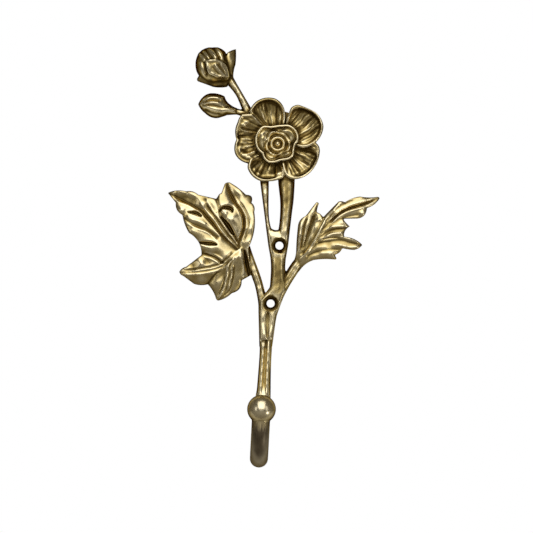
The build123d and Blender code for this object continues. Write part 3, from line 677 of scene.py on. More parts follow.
def outline(points, step=0.6):
    """Closed outline with its bulging edges as a list of short straight runs."""
    area = 0.0
    for here, there in zip(points, points[1:] + points[:1]):
        area += here[0] * there[1] - there[0] * here[1]
    side = 1 if area > 0 else -1
    out = []
    for here, there in zip(points, points[1:] + points[:1]):
        run = np.array([there[0] - here[0], there[1] - here[1]])
        length = float(np.hypot(*run))
        out_dir = side * np.array([run[1], -run[0]]) / length
        count = max(1, round(length / step)) if here[2] else 1
        for t in np.linspace(0, 1, count, endpoint=False):
            spot = np.array(here[:2]) + run * t + out_dir * 4 * here[2] * t * (1 - t)
            out.append(tuple(spot))
    return out


def reach(px, pz, line):
    """Distance of each point of the grid from a line, and how far along the line it is nearest."""
    best = np.full(px.shape, 1e9)
    along = np.zeros(px.shape)
    run = 0.0
    for (ax, az), (bx, bz) in zip(line, line[1:]):
        dx, dz = bx - ax, bz - az
        length = math.hypot(dx, dz)
        if length < 1e-6:
            continue
        t = np.clip(((px - ax) * dx + (pz - az) * dz) / length**2, 0, 1)
        away = np.hypot(px - ax - t * dx, pz - az - t * dz)
        near = away < best
        best = np.where(near, away, best)
        along = np.where(near, run + t * length, along)
        run += length
    return best, along / max(run, 1e-6)


def nearest(px, pz, lines):
    """Distance of each point of the grid from the nearest of several curves."""
    return np.minimum.reduce([reach(px, pz, smooth_line(line))[0] for line in lines])


def rim_distance(px, pz, ring):
    """Distance of each point of the grid from a closed outline."""
    return reach(px, pz, ring + ring[:1])[0]


def ease(low, high, value):
    """Soft step from nought at low to one at high."""
    t = np.clip((value - low) / (high - low), 0, 1)
    return t * t * (3 - 2 * t)


def hump(value, middle, spread):
    """Soft bump that is one at its middle and fades on both sides."""
    return np.exp(-(((value - middle) / spread) ** 2))


def humps(value, rows):
    """Sum of soft bumps listed as (rise, middle, spread)."""
    return sum(rise * hump(value, middle, spread) for rise, middle, spread in rows)


def inflate(edge, radius):
    """Rise of a round form at a distance in from its edge."""
    inward = np.clip(edge, 0, radius)
    return np.sqrt(inward * (2 * radius - inward))


def ripple(px, pz, waves, seed):
    """Uneven swell of a hand-worked surface, given as its rise and the size of its waves."""
    rise, size = waves
    total = np.zeros(px.shape)
    for k in range(RIPPLE_WAVES):
        turn = RIPPLE_TURN * k + seed
        pull = (1 + RIPPLE_GROWTH * k) / size
        total += np.sin(pull * (px * math.cos(turn) + pz * math.sin(turn)) + RIPPLE_PHASE * seed + k)
    return rise * total / RIPPLE_SHARE


def falls(edge, rows):
    """Sum of drops towards an edge, listed as (drop, reach)."""
    return sum(drop * np.exp(-edge / fade) for drop, fade in rows)


def carve(px, pz, height, carving, pointed=False):
    """Adds grooves and ridges to a grid of heights, drawn out to points at their ends if so asked."""
    for line, width, rise in carving:
        away, along = reach(px, pz, smooth_line(line))
        tail = CARVE_END_LEFT + (1 - CARVE_END_LEFT) * ease(0, CARVE_END, 1 - along)
        ends = ease(0, CARVE_START, along) * tail
        if pointed:
            full = np.sin(math.pi * along**SLIT_LEAN) ** SLIT_FULL
            width = width * (SLIT_LEAST + (1 - SLIT_LEAST) * full)
            ends = 1.0
        height = height + rise * hump(away, 0, width) * ends
    return height


def part_object(name, verts, faces):
    """Mesh object in the collection of loose parts, its points given in metres."""
    mesh = bpy.data.meshes.new(name)
    mesh.from_pydata(verts, [], faces)
    mesh.validate()
    made = bpy.data.objects.new(name, mesh)
    parts = bpy.data.collections.get(PARTS)
    if parts is None:
        parts = bpy.data.collections.new(PARTS)
        bpy.context.scene.collection.children.link(parts)
    parts.objects.link(made)
    return made


def place(x, z, height):
    """Point in metres from a place on the wall and a height out from it."""
    return (x * MM, -height * MM, z * MM)


def prism(name, ring, low, high):
    """Straight block over an outline."""
    count = len(ring)
    verts = [place(x, z, low) for x, z in ring] + [place(x, z, high) for x, z in ring]
    area = sum(a[0] * b[1] - b[0] * a[1] for a, b in zip(ring, ring[1:] + ring[:1]))
    top = list(range(count, 2 * count))
    bottom = list(range(count - 1, -1, -1))
    sides = [[i, (i + 1) % count, (i + 1) % count + count, i + count] for i in range(count)]
    faces = [top, bottom, *sides]
    if area < 0:
        faces = [face[::-1] for face in faces]
    return part_object(name, verts, faces)


def slab(name, px, pz, front, back):
    """Closed block between two grids of heights."""
    rows, cols = px.shape
    half = rows * cols
    verts = np.zeros((2 * half, 3))
    verts[:, 0] = np.tile(px.ravel(), 2) * MM
    verts[:, 1] = -np.concatenate([front.ravel(), back.ravel()]) * MM
    verts[:, 2] = np.tile(pz.ravel(), 2) * MM
    index = np.arange(half).reshape(rows, cols)
    a, b = index[:-1, :-1].ravel(), index[:-1, 1:].ravel()
    c, d = index[1:, 1:].ravel(), index[1:, :-1].ravel()
    faces = np.stack([a, b, c, d], 1).tolist()
    faces += np.stack([d + half, c + half, b + half, a + half], 1).tolist()
    edge = [*index[0, :], *index[1:, -1], *index[-1, -2::-1], *index[-2:0:-1, 0]]
    for i, j in zip(edge, edge[1:] + edge[:1]):
        faces.append([int(j), int(i), int(i) + half, int(j) + half])
    return part_object(name, verts.tolist(), faces)


def settle(made):
    """Turns an object's modifiers into plain mesh."""
    shape = made.evaluated_get(bpy.context.evaluated_depsgraph_get())
    mesh = bpy.data.meshes.new_from_object(shape)
    made.modifiers.clear()
    old = made.data
    made.data = mesh
    bpy.data.meshes.remove(old)


def cut(made, other, how):
    """Boolean of two closed objects; the second is used up."""
    work = made.modifiers.new("cut", "BOOLEAN")
    work.operation = how
    work.solver = "MANIFOLD"
    work.object = other
    settle(made)
    bpy.data.objects.remove(other)
    if not made.data.polygons:
        raise RuntimeError(f"{made.name} has nothing left after the cut")


def grid_over(ring, step):
    """Grid of places that covers an outline."""
    xs = [p[0] for p in ring]
    zs = [p[1] for p in ring]
    margin = 2 * step
    across = np.arange(min(xs) - margin, max(xs) + margin + step, step)
    up = np.arange(min(zs) - margin, max(zs) + margin + step, step)
    return np.meshgrid(across, up)


def relief(name, ring, shape, step):
    """Form with this outline whose front and back heights come from a shape function."""
    px, pz = grid_over(ring, step)
    front, back = shape(px, pz, rim_distance(px, pz, ring))
    made = slab(name, px, pz, np.maximum(front, back + LEAST_SKIN), back)
    cut(made, prism(name + "_edge", ring, CLEAR_BACK, CLEAR), "INTERSECT")
    return made


def skin_over(name, verts, count):
    """Closed skin over rings of points that follow one another."""
    faces = [list(range(count - 1, -1, -1)), list(range(len(verts) - count, len(verts)))]
    for here in range(0, len(verts) - count, count):
        for k in range(count):
            nxt = (k + 1) % count
            faces.append([here + k, here + nxt, here + count + nxt, here + count + k])
    return part_object(name, verts, faces)


def tube(name, path):
    """Round bar along a path of (x, z, height, half width, half depth) with flat ends."""
    spots = np.array([(x, -h, z) for x, z, h, *_ in path])
    runs = np.gradient(spots, axis=0)
    verts = []
    for spot, run, (_, _, _, wide, deep) in zip(spots, runs, path):
        run = run / np.linalg.norm(run)
        side = np.array([1.0, 0.0, 0.0]) - run * run[0]
        side /= np.linalg.norm(side)
        out = np.cross(run, side)
        for k in range(ROD_SIDES):
            turn = 2 * math.pi * k / ROD_SIDES
            point = spot + side * wide * math.cos(turn) + out * deep * math.sin(turn)
            verts.append(tuple(point * MM))
    return skin_over(name, verts, ROD_SIDES)


def round_ball(name, x, z, height, radius):
    """Ball with fine even faces."""
    work = bmesh.new()
    bmesh.ops.create_icosphere(work, subdivisions=5, radius=radius * MM)
    bmesh.ops.translate(work, verts=work.verts, vec=place(x, z, height))
    mesh = bpy.data.meshes.new(name)
    work.to_mesh(mesh)
    work.free()
    made = part_object(name, [], [])
    made.data = mesh
    return made


def ball_height(radius, away, least=0.2):
    """Height of a ball's face over its middle at a distance from its axis."""
    return np.sqrt(np.maximum(radius**2 - away**2, least))


def dome(px, pz, crown, top, radius):
    """Height of a wide dome about its crown."""
    return top - radius + ball_height(radius, np.hypot(px - crown[0], pz - crown[1]))


def swell(px, pz, height, swellings):
    """Adds soft round swellings to a grid of heights."""
    for x, z, spread, rise in swellings:
        height = height + rise * np.exp(-((px - x) ** 2 + (pz - z) ** 2) / spread**2)
    return height


def leaf(name, points, ribs, ridges, veins, carving, slits, swellings, crown, bend, sizes):
    """Leaf whose lobes are folded along their ribs, veined, carved and slit, hollow behind."""
    top = sizes.leaf_crown / MM
    skin = sizes.leaf_skin / MM
    ring = outline(points)

    def shape(px, pz, edge):
        base = dome(px, pz, crown, top, LEAF_DOME_R)
        from_rib = nearest(px, pz, ribs)
        from_vein = nearest(px, pz, ribs + ridges + veins)
        fold = np.tanh(from_rib / LEAF_FOLD_REACH)
        if ridges:
            from_ridge = nearest(px, pz, ridges)
            near_ridge = 1 / (1 + np.exp(np.clip(from_ridge - from_rib, -20, 20)))
            fold = fold + near_ridge * (LEAF_RIDGE_RISE - np.tanh(from_ridge / LEAF_FOLD_REACH) - fold)
        fold = bend * sizes.leaf_fold / MM * fold
        fold = fold + (VEIN_DEPTH + FOLDED_VEIN_DEPTH * bend) * (1 - np.exp(-from_vein / VEIN_REACH))
        front = base - LEAF_SUNK + fold - falls(edge, LEAF_EDGE_FALLS)
        front = front + ripple(px, pz, LEAF_RIPPLE, LEAF_SEED)
        front = swell(px, pz, front, swellings)
        front = carve(px, pz, front, carving)
        front = carve(px, pz, front, slits, True)
        return front, base - skin

    return relief(name, ring, shape, sizes.step / MM)


def petal(name, points, middle, hollow, flutes, pivot, folds, rim, sizes):
    """Dished petal with a rolled rim, bold flutes and finer ones that fan out from a point."""
    ring = outline(points)
    drop = rim - PETAL_FLOOR
    radius = (hollow**2 + drop**2) / (2 * drop)
    depth = sizes.flute / MM

    def shape(px, pz, edge):
        out = np.hypot(px - middle[0], pz - middle[1])
        bowl = PETAL_FLOOR + radius - ball_height(radius, out)
        front = np.minimum(bowl, rim) + humps(edge, PETAL_EDGE) - falls(edge, PETAL_EDGE_FALLS)
        inner = ease(*FLUTE_START, edge)
        front -= PETAL_TILT * (pz - middle[1]) * inner
        for line in flutes:
            away, along = reach(px, pz, list(line))
            fade = 1 - FLUTE_FADE * ease(*FLUTE_END, along)
            front += depth * inner * (fade * humps(away, FLUTE_CUT) + humps(away, FLUTE_LIP))
        turn = np.arctan2(pz - pivot[1], px - pivot[0]) + ripple(px, pz, FLUTE_SWAY, rim)
        span = np.hypot(middle[0] - pivot[0], middle[1] - pivot[1])
        front += FINE_FLUTE * np.cos(2 * math.pi * turn * span / FINE_FLUTE_PITCH) * inner
        front += ripple(px, pz, PETAL_RIPPLE, rim) * inner
        front = carve(px, pz, front, folds)
        under = PETAL_FLOOR + radius - ball_height(radius + PETAL_SKIN, out)
        return np.minimum(front, rim + PETAL_PROUD), np.clip(under, 0.0, rim - PETAL_LIP)

    return relief(name, ring, shape, sizes.step / MM)


def cup_shape(px, pz, edge):
    """Wavy cup in the middle of the flower, with a ring and a dot."""
    out = np.hypot(px - FLOWER[0], pz - FLOWER[1])
    dish = CUP_FLOOR + (CUP_RIM - CUP_DISH_DROP - CUP_FLOOR) * (out / CUP_HOLLOW_R) ** 2
    dish = np.minimum(dish + humps(edge, CUP_EDGE), CUP_RIM)
    rim = CUP_RIM - CUP_RIM_ROUND * (np.clip(edge - CUP_RIM_HALF, -1, 1) / CUP_RIM_HALF) ** 2
    front = np.where(edge < 2 * CUP_RIM_HALF, rim, dish)
    front = swell(px, pz, front, CUP_SWELLINGS)
    turn = np.arctan2(pz - FLOWER[1], px - FLOWER[0])
    swirl = SWIRL_R + sum(swing * np.cos(count * turn + phase) for swing, count, phase in SWIRL_WAVES)
    front = front + humps(out - swirl, CUP_SWIRL) + humps(out, CUP_RINGS)
    return front, np.full(px.shape, CUP_BACK)


def stem_shape(left, right, front, ridge, sink, square):
    """Shape function of a stem between two edges: a rounded face with two flat ridges and steep sides."""
    left_line = smooth_line(left)
    right_line = smooth_line(right)

    def shape(px, pz, edge):
        from_left, along = reach(px, pz, left_line)
        from_right = reach(px, pz, right_line)[0]
        width = from_left + from_right
        across = (from_left - from_right) / np.maximum(width, 1e-6)
        round_face = np.sqrt(np.maximum(1 - np.abs(across) ** square, 0))
        from_ridge = (np.abs(across + STEM_RIDGE_SHIFT) - STEM_RIDGE_OUT) / STEM_RIDGE_HALF
        ridges = ridge * np.exp(-(from_ridge**4)) * ease(*STEM_RIDGE_START, width)
        top = front - STEM_SIDE - ridge - sink * along
        height = STEM_SIDE + top * round_face + ridges + ripple(px, pz, STEM_RIPPLE, front)
        return height, np.full(px.shape, STEM_BACK)

    return left_line + right_line[::-1], shape


def flat_shape(height):
    """Shape function of a plain raised web with a hammered face."""

    def shape(px, pz, edge):
        return height + ripple(px, pz, WEB_RIPPLE, height), np.zeros(px.shape)

    return shape


def band_shape(top):
    """Shape function of the band that the screws go through, rounded off at its sides."""

    def shape(px, pz, edge):
        side = falls(edge, BAND_EDGE_FALLS)
        sink = BAND_HEAD_SINK * ease(*BAND_HEAD, pz) - BAND_FOOT_RISE * np.clip(BAND_FOOT_Z - pz, 0, None)
        near = np.minimum(*[np.hypot(px - x, pz - z) for x, z in SCREWS])
        rough = ripple(px, pz, BAND_RIPPLE, top) * ease(*SEAT_EDGE, near)
        front = carve(px, pz, top - side - sink + rough, BAND_CARVING)
        return carve(px, pz, front, BAND_HOLLOW, True), np.full(px.shape, STEM_BACK)

    return shape


def bud_shape(axis, radius, carving):
    """Shape function of a round bud with the folds of its closed petals."""

    def shape(px, pz, edge):
        rise = inflate(edge, radius)
        return carve(px, pz, axis + rise, carving), np.maximum(axis - rise, 0.0)

    return shape


def front_sepal_shape(px, pz, edge):
    """Sepal that lies on the front of the big bud."""
    under = BIG_BUD_AXIS + inflate(rim_distance(px, pz, outline(BIG_BUD_BODY)), BIG_BUD_R)
    front = under + SEPAL_PROUD + humps(edge, SEPAL_EDGE) - SEPAL_DISH * ease(*SEPAL_DISH_START, edge)
    return carve(px, pz, front, SEPAL_CARVING), np.full(px.shape, BIG_BUD_AXIS)


def side_sepal_shape(px, pz, edge):
    """Sepal that stands off beside the big bud."""
    top = BIG_BUD_AXIS + BIG_BUD_R - SIDE_SEPAL_SUNK
    cap = dome(px, pz, BIG_BUD, top, SEPAL_DOME_R)
    front = cap - falls(edge, SEPAL_EDGE_FALLS) + ripple(px, pz, SEPAL_RIPPLE, SEPAL_SEED)
    return front, np.maximum(cap - SEPAL_SKIN, 0.0)


def disc(x, z, radius, count=72):
    """Round outline."""
    turns = np.linspace(0, 2 * math.pi, count, endpoint=False)
    return [(x + radius * math.cos(t), z + radius * math.sin(t)) for t in turns]


def filled_rows(rows, per=6):
    """Rows of numbers with even steps filled in between them."""
    table = np.array(rows, float)
    ticks = np.arange(len(rows))
    fine = np.linspace(0, len(rows) - 1, per * (len(rows) - 1) + 1)
    return np.stack([np.interp(fine, ticks, table[:, k]) for k in range(table.shape[1])], 1).tolist()


class HOOK_OT_stems(bpy.types.Operator):
    """Build the stems and the trunk, the band that the screws go through and the web below it."""

    bl_idname = "wall_hook.stems"
    bl_label = "Stems"

    def execute(self, context):
        sizes = context.scene.hook_sizes
        step = sizes.step / MM
        for name, left, right, front, ridge, sink, square in STEMS:
            ring, shape = stem_shape(left, right, front, ridge, sink, square)
            relief(name, ring, shape, step)
        relief("middle_band", outline(MIDDLE_BAND), band_shape(BOSS_HEIGHT), step)
        relief("low_web", outline(LOW_WEB), flat_shape(WEB_HEIGHT), step)
        return {"FINISHED"}


class HOOK_OT_curl(bpy.types.Operator):
    """Build the bar behind the trunk and the curl with its ball."""

    bl_idname = "wall_hook.curl"
    bl_label = "Trunk and curl"

    def execute(self, context):
        lean = math.radians(HOOK_LEAN)
        path = [(x, z, deep, wide, deep) for x, z, wide, deep in filled_rows(TRUNK)]
        for turn in np.linspace(0, math.pi, CURL_STEPS):
            rise = -CURL_R * math.sin(turn)
            height = ROD_R + CURL_R * (1 - math.cos(turn))
            x = HOOK_FOOT_X + rise * math.sin(lean)
            z = CURL_Z + rise * math.cos(lean)
            path.append((x, z, height, ROD_R, ROD_R))
        far = ROD_R + 2 * CURL_R
        for rise in np.linspace(NECK_START, BALL_RISE, NECK_STEPS):
            x = HOOK_FOOT_X + rise * math.sin(lean)
            path.append((x, CURL_Z + rise * math.cos(lean), far, ROD_R, ROD_R))
        tube("trunk_and_curl", path)
        ball_x = HOOK_FOOT_X + BALL_RISE * math.sin(lean)
        ball_z = CURL_Z + BALL_RISE * math.cos(lean)
        round_ball("ball", ball_x, ball_z, far, context.scene.hook_sizes.ball / MM / 2)
        return {"FINISHED"}


class HOOK_OT_leaves(bpy.types.Operator):
    """Build the two leaves."""

    bl_idname = "wall_hook.leaves"
    bl_label = "Leaves"

    def execute(self, context):
        sizes = context.scene.hook_sizes
        for one in LEAVES:
            leaf(*one, sizes)
        return {"FINISHED"}


class HOOK_OT_flower(bpy.types.Operator):
    """Build the open flower with its cup."""

    bl_idname = "wall_hook.flower"
    bl_label = "Flower"

    def execute(self, context):
        sizes = context.scene.hook_sizes
        step = sizes.step / MM
        built = []
        for i, (points, middle, hollow, flutes, pivot) in enumerate(PETALS):
            rim = PETAL_RIM + i * PETAL_STEP
            for under in built:
                cut(under, prism("over", outline(points), PETAL_FLOOR - PETAL_SKIN, CLEAR), "DIFFERENCE")
            folds = PETAL_FOLDS.get(i, [])
            built.append(petal(f"petal_{i}", points, middle, hollow, flutes, pivot, folds, rim, sizes))
        for under in built:
            cut(under, prism("over", outline(CUP), CUP_FOOT, CLEAR), "DIFFERENCE")
        relief("cup", outline(CUP), cup_shape, step)
        backing = flat_shape(PETAL_FLOOR - FLOWER_BACK_SUNK)
        relief("flower_back", disc(*FLOWER, FLOWER_BACK_R), backing, step)
        return {"FINISHED"}


class HOOK_OT_buds(bpy.types.Operator):
    """Build the two buds."""

    bl_idname = "wall_hook.buds"
    bl_label = "Buds"

    def execute(self, context):
        step = context.scene.hook_sizes.step / MM
        pieces = [
            ("big_bud", BIG_BUD_BODY, bud_shape(BIG_BUD_AXIS, BIG_BUD_R, BIG_BUD_CARVING)),
            ("front_sepal", FRONT_SEPAL, front_sepal_shape),
            ("right_sepal", RIGHT_SEPAL, side_sepal_shape),
            ("low_sepal", LOW_SEPAL, side_sepal_shape),
            ("small_bud", SMALL_BUD_BODY, bud_shape(SMALL_BUD_AXIS, SMALL_BUD_R, SMALL_BUD_CARVING)),
        ]
        for name, points, shape in pieces:
            relief(name, outline(points), shape, step)
        return {"FINISHED"}


def screw_cutter(x, z, sizes):
    """Cone and bore that a countersunk screw needs."""
    bore = sizes.bore / MM / 2
    head = sizes.countersink / MM / 2
    back, front = SCREW_CUT
    rings = [(back, bore), (BOSS_HEIGHT - (head - bore), bore), (BOSS_HEIGHT, head), (front, head)]
    verts = []
    for height, radius in rings:
        verts += [place(px, pz, height) for px, pz in disc(x, z, radius, SCREW_SIDES)]
    return skin_over("screw_cutter", verts, SCREW_SIDES)


def box_ring():
    """Front outline of the CAD model's box."""
    low, high = CAD_BOX
    left, right = low[0] / MM, high[0] / MM
    bottom, top = low[2] / MM, high[2] / MM
    return [(left, bottom), (right, bottom), (right, top), (left, top)]


def hold_inside(mesh):
    """Brings points that lie outside the CAD model's box back to it."""
    spots = np.zeros(len(mesh.vertices) * 3)
    mesh.vertices.foreach_get("co", spots)
    low, high = np.array(CAD_BOX) + [[BOX_MARGIN], [-BOX_MARGIN]]
    mesh.vertices.foreach_set("co", spots.reshape(-1, 3).clip(low, high).ravel())
    mesh.update()


def blur(field, spread):
    """Soft average of a grid over a spread given in cells."""
    reach_cells = int(3 * spread) + 1
    taps = np.exp(-0.5 * (np.arange(-reach_cells, reach_cells + 1) / spread) ** 2)
    taps /= taps.sum()
    padded = np.pad(field, reach_cells)
    rows = np.zeros((padded.shape[0], field.shape[1]))
    for i, tap in enumerate(taps):
        rows += tap * padded[:, i:i + field.shape[1]]
    out = np.zeros(field.shape)
    for i, tap in enumerate(taps):
        out += tap * rows[i:i + field.shape[0], :]
    return out


def mesh_points(mesh):
    """Places and normals of a mesh's points, in millimetres."""
    count = len(mesh.vertices)
    spots = np.zeros(count * 3)
    normals = np.zeros(count * 3)
    mesh.vertices.foreach_get("co", spots)
    mesh.vertices.foreach_get("normal", normals)
    return spots.reshape(-1, 3) / MM, normals.reshape(-1, 3)


def front_averages(mesh):
    """Height of the front as seen from before it, softly averaged at several reaches."""
    spots = mesh_points(mesh)[0]
    low = spots.min(0)
    cols = ((spots[:, 0] - low[0]) / AVERAGE_CELL).astype(int)
    rows = ((spots[:, 2] - low[2]) / AVERAGE_CELL).astype(int)
    shape = (rows.max() + 1, cols.max() + 1)
    height = np.zeros(shape)
    np.maximum.at(height, (rows, cols), -spots[:, 1])
    mask = ((height > 0) & (height < AVERAGE_CAP)).astype(float)
    averages = []
    for spread, _, _ in SHADE_AND_RUBBING_SCALES:
        cells = spread / AVERAGE_CELL
        averages.append(blur(height * mask, cells) / np.maximum(blur(mask, cells), 1e-3))
    return averages, low


def look_up(field, low, spots):
    """Values of a grid at the given points."""
    cols = np.clip((spots[:, 0] - low[0]) / AVERAGE_CELL - 0.5, 0, field.shape[1] - 1.001)
    rows = np.clip((spots[:, 2] - low[2]) / AVERAGE_CELL - 0.5, 0, field.shape[0] - 1.001)
    c0, r0 = cols.astype(int), rows.astype(int)
    fc, fr = cols - c0, rows - r0
    value = (field[r0, c0] * (1 - fc) + field[r0, c0 + 1] * fc) * (1 - fr)
    return value + (field[r0 + 1, c0] * (1 - fc) + field[r0 + 1, c0 + 1] * fc) * fr


def paint_wear_and_light(mesh, averages, low, sizes):
    """Writes onto the mesh how bright or dark each point is, from rubbing and patina and from painted
    highlights and painted shade, and where it is satin.
    """
    spots, normals = mesh_points(mesh)
    x, height, z = spots[:, 0], -spots[:, 1], spots[:, 2]
    facing = np.clip(-normals[:, 1], 0, 1)
    value = np.full(len(spots), WEAR_START)
    # Proud places brighter and hollows darker: partly rubbing and patina, partly painted highlight and
    # painted shade
    for field, (_, full, share) in zip(averages, SHADE_AND_RUBBING_SCALES):
        proud = height - look_up(field, low, spots)
        value += share * np.clip(proud / full, *PROUD_LIMITS)
    # Spots of rubbing and of painted highlights and painted shade
    value = swell(x, z, value, RUBBED_AND_PAINTED_LIGHT)
    # Painted shade on the petals towards their rims and round the cup
    out = np.hypot(x - FLOWER[0], z - FLOWER[1])
    flower = (out < FLOWER_REACH) & (height > PETAL_RIM - FLOWER_DIP)
    shade = PETAL_SHADE * ease(*PETAL_SHADE_START, out) + humps(out, CUP_SHADE)
    value = value - np.where(flower, shade, 0.0)
    # Steep sides painted darker: partly unpolished brass, partly painted shade
    value = value * (STEEP_UNPOLISHED_AND_SHADED + (1 - STEEP_UNPOLISHED_AND_SHADED) * ease(*STEEP_FACING, facing))
    # Painted highlight on the stems' edges that face right and down
    stems = ease(*STEM_HEADS, z) * ease(*STEM_FEET, z) * ease(*STEM_LEFT, x)
    outward = np.clip(normals[:, 0] * EDGE_SIDE[0] + normals[:, 2] * EDGE_SIDE[1], 0, 1)
    value = value + EDGE_LIGHT * stems * outward * ease(*EDGE_FACING, facing)
    # Painted light and shade on the curl: the ball bright where it faces the front, shaded at its rim and
    # underside, the rod lighter at its edges and shaded down its face
    curl = (height > CURL_FRONT) & (z < CURL_HEAD_Z)
    on_ball = z > BALL_FOOT_Z
    ball_light_and_shade = BALL_FRONT_LIGHT * facing - BALL_UNDER_SHADE * ease(*BALL_SHADE_Z, z)
    curl_light_and_shade = np.where(on_ball, ball_light_and_shade, ROD_EDGE_SHEEN - ROD_FACE_SHADE * facing)
    value = np.where(curl, curl_light_and_shade, value)
    value = np.where(normals[:, 1] > BACK_FACING, WEAR_BACK, value)
    # Painted shade in the screw seats, full inside the countersinks and fading just outside them
    head = sizes.countersink / MM / 2
    for screw_x, screw_z in SCREWS:
        away = np.hypot(x - screw_x, z - screw_z)
        value = value * ease(*SEAT_SHADE_RIM, away - head)
    satin = np.where(curl, np.where(on_ball, BALL_SATIN, 1.0), 0.0)
    for name, field in (("wear_and_light", np.clip(value, 0, 1)), ("satin", satin)):
        layer = mesh.attributes.new(name, "FLOAT", "POINT")
        layer.data.foreach_set("value", field.astype(np.float32))


def add_node(tree, kind, inputs=None, **settings):
    """New shader node with its settings, its inputs given as values or as sockets to link from."""
    node = tree.nodes.new(kind)
    for name, value in settings.items():
        setattr(node, name, value)
    for key, value in (inputs or {}).items():
        if isinstance(value, bpy.types.NodeSocket):
            tree.links.new(value, node.inputs[key])
        else:
            node.inputs[key].default_value = value
    return node


def sum_node(tree, first, second):
    """Sum of two sockets, held between nought and one."""
    inputs = {0: first, 1: second}
    return add_node(tree, "ShaderNodeMath", inputs, operation="ADD", use_clamp=True).outputs[0]


def line_node(tree, value, slope, start):
    """A socket's value times a slope, from a start that is a number or a socket."""
    inputs = {0: value, 1: slope, 2: start}
    return add_node(tree, "ShaderNodeMath", inputs, operation="MULTIPLY_ADD").outputs[0]


def brass_material(finish):
    """Antique brass: bright where it stands proud, from rubbing and painted highlights, dark in the hollows,
    from patina and painted shade, with a cast grain.
    """
    brass = bpy.data.materials.new("antique_brass")
    brass.use_nodes = True
    tree = brass.node_tree
    shader = tree.nodes["Principled BSDF"]
    shader.inputs["Metallic"].default_value = 1.0
    shader.inputs["Specular Tint"].default_value = EDGE_TINT

    # The level read here holds rubbing and patina along with painted highlights and painted shade
    wear_and_light = add_node(tree, "ShaderNodeAttribute", attribute_name="wear_and_light").outputs["Fac"]
    satin = add_node(tree, "ShaderNodeAttribute", attribute_name="satin").outputs["Fac"]
    spots = add_node(tree, "ShaderNodeTexCoord").outputs["Object"]
    drawn = add_node(tree, "ShaderNodeMapping", {"Vector": spots, "Scale": MOTTLE_STRETCH})
    mottle = add_node(tree, "ShaderNodeTexNoise",
                      {"Vector": drawn.outputs["Vector"], "Scale": MOTTLE_GRAIN, "Detail": 5.0})
    spread = line_node(tree, mottle.outputs["Fac"], MOTTLE_SPREAD, -MOTTLE_SPREAD / 2)
    level = sum_node(tree, wear_and_light, spread)

    tone = add_node(tree, "ShaderNodeValToRGB", {"Fac": level})
    dark, bright = tone.color_ramp.elements
    dark.position, dark.color = PATINA_LEVEL, finish.patina
    bright.position, bright.color = POLISHED_LEVEL, finish.polished
    tone.color_ramp.elements.new(AGED_LEVEL).color = finish.aged
    colours = line_node(tree, satin, -SATIN_GREY, 1.0)
    dull = add_node(tree, "ShaderNodeHueSaturation",
                    {"Saturation": colours, "Color": tone.outputs["Color"]})
    tree.links.new(dull.outputs["Color"], shader.inputs["Base Color"])

    sheen = add_node(tree, "ShaderNodeMapRange",
                     {"Value": level, "To Min": DARK_ROUGHNESS, "To Max": BRIGHT_ROUGHNESS})
    rough = line_node(tree, satin, SATIN_ROUGHNESS, sheen.outputs["Result"])
    tree.links.new(rough, shader.inputs["Roughness"])

    pits = add_node(tree, "ShaderNodeTexNoise", {"Vector": spots, "Scale": PIT_GRAIN, "Detail": 3.0})
    bump = add_node(tree, "ShaderNodeBump",
                    {"Height": pits.outputs["Fac"], "Strength": PIT_STRENGTH, "Distance": PIT_DEPTH})
    tree.links.new(bump.outputs["Normal"], shader.inputs["Normal"])
    return brass


class HOOK_OT_casting(bpy.types.Operator):
    """Melt the loose parts into one casting, drill it and give it its finish."""

    bl_idname = "wall_hook.casting"
    bl_label = "Casting"

    def execute(self, context):
        sizes = context.scene.hook_sizes
        parts = bpy.data.collections[PARTS]
        whole = list(parts.objects)[0]
        with context.temp_override(active_object=whole, object=whole,
                                   selected_editable_objects=list(parts.objects)):
            bpy.ops.object.join()
        whole.name = "wall_hook_casting"
        melt = whole.modifiers.new("melt", "REMESH")
        melt.mode = "VOXEL"
        melt.voxel_size = sizes.grain * 1.0
        soften = whole.modifiers.new("soften", "SMOOTH")
        soften.factor = SOFTEN_SHARE
        soften.iterations = SOFTEN_PASSES
        settle(whole)
        for x, z in SCREWS:
            cut(whole, screw_cutter(x, z, sizes), "DIFFERENCE")
        keep = prism("keep", box_ring(), 0.0, -CAD_BOX[0][1] / MM)
        cut(whole, keep, "INTERSECT")
        averages, low = front_averages(whole.data)
        count = sum(len(face.vertices) - 2 for face in whole.data.polygons)
        thin = whole.modifiers.new("thin", "DECIMATE")
        thin.ratio = min(1.0, sizes.triangles / count)
        settle(whole)
        if not whole.data.polygons:
            raise RuntimeError("the casting came out empty")
        hold_inside(whole.data)
        paint_wear_and_light(whole.data, averages, low, sizes)
        whole.data.shade_smooth()
        whole.data.materials.clear()
        whole.data.materials.append(brass_material(context.scene.hook_finish))
        parts.objects.unlink(whole)
        context.scene.collection.objects.link(whole)
        bpy.data.collections.remove(parts)
        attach(whole, BODY)
        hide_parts(NODE)
        return {"FINISHED"}


def softbox(name, spot, size, power):
    """Oblong studio lamp at a spot, turned to the middle between the screws."""
    lamp = bpy.data.lights.new(name, "AREA")
    lamp.shape = "RECTANGLE"
    lamp.size, lamp.size_y = size
    lamp.energy = power
    made = bpy.data.objects.new(name, lamp)
    made.location = spot
    made.rotation_euler = (-Vector(spot)).to_track_quat("-Z", "Y").to_euler()
    bpy.context.scene.collection.objects.link(made)


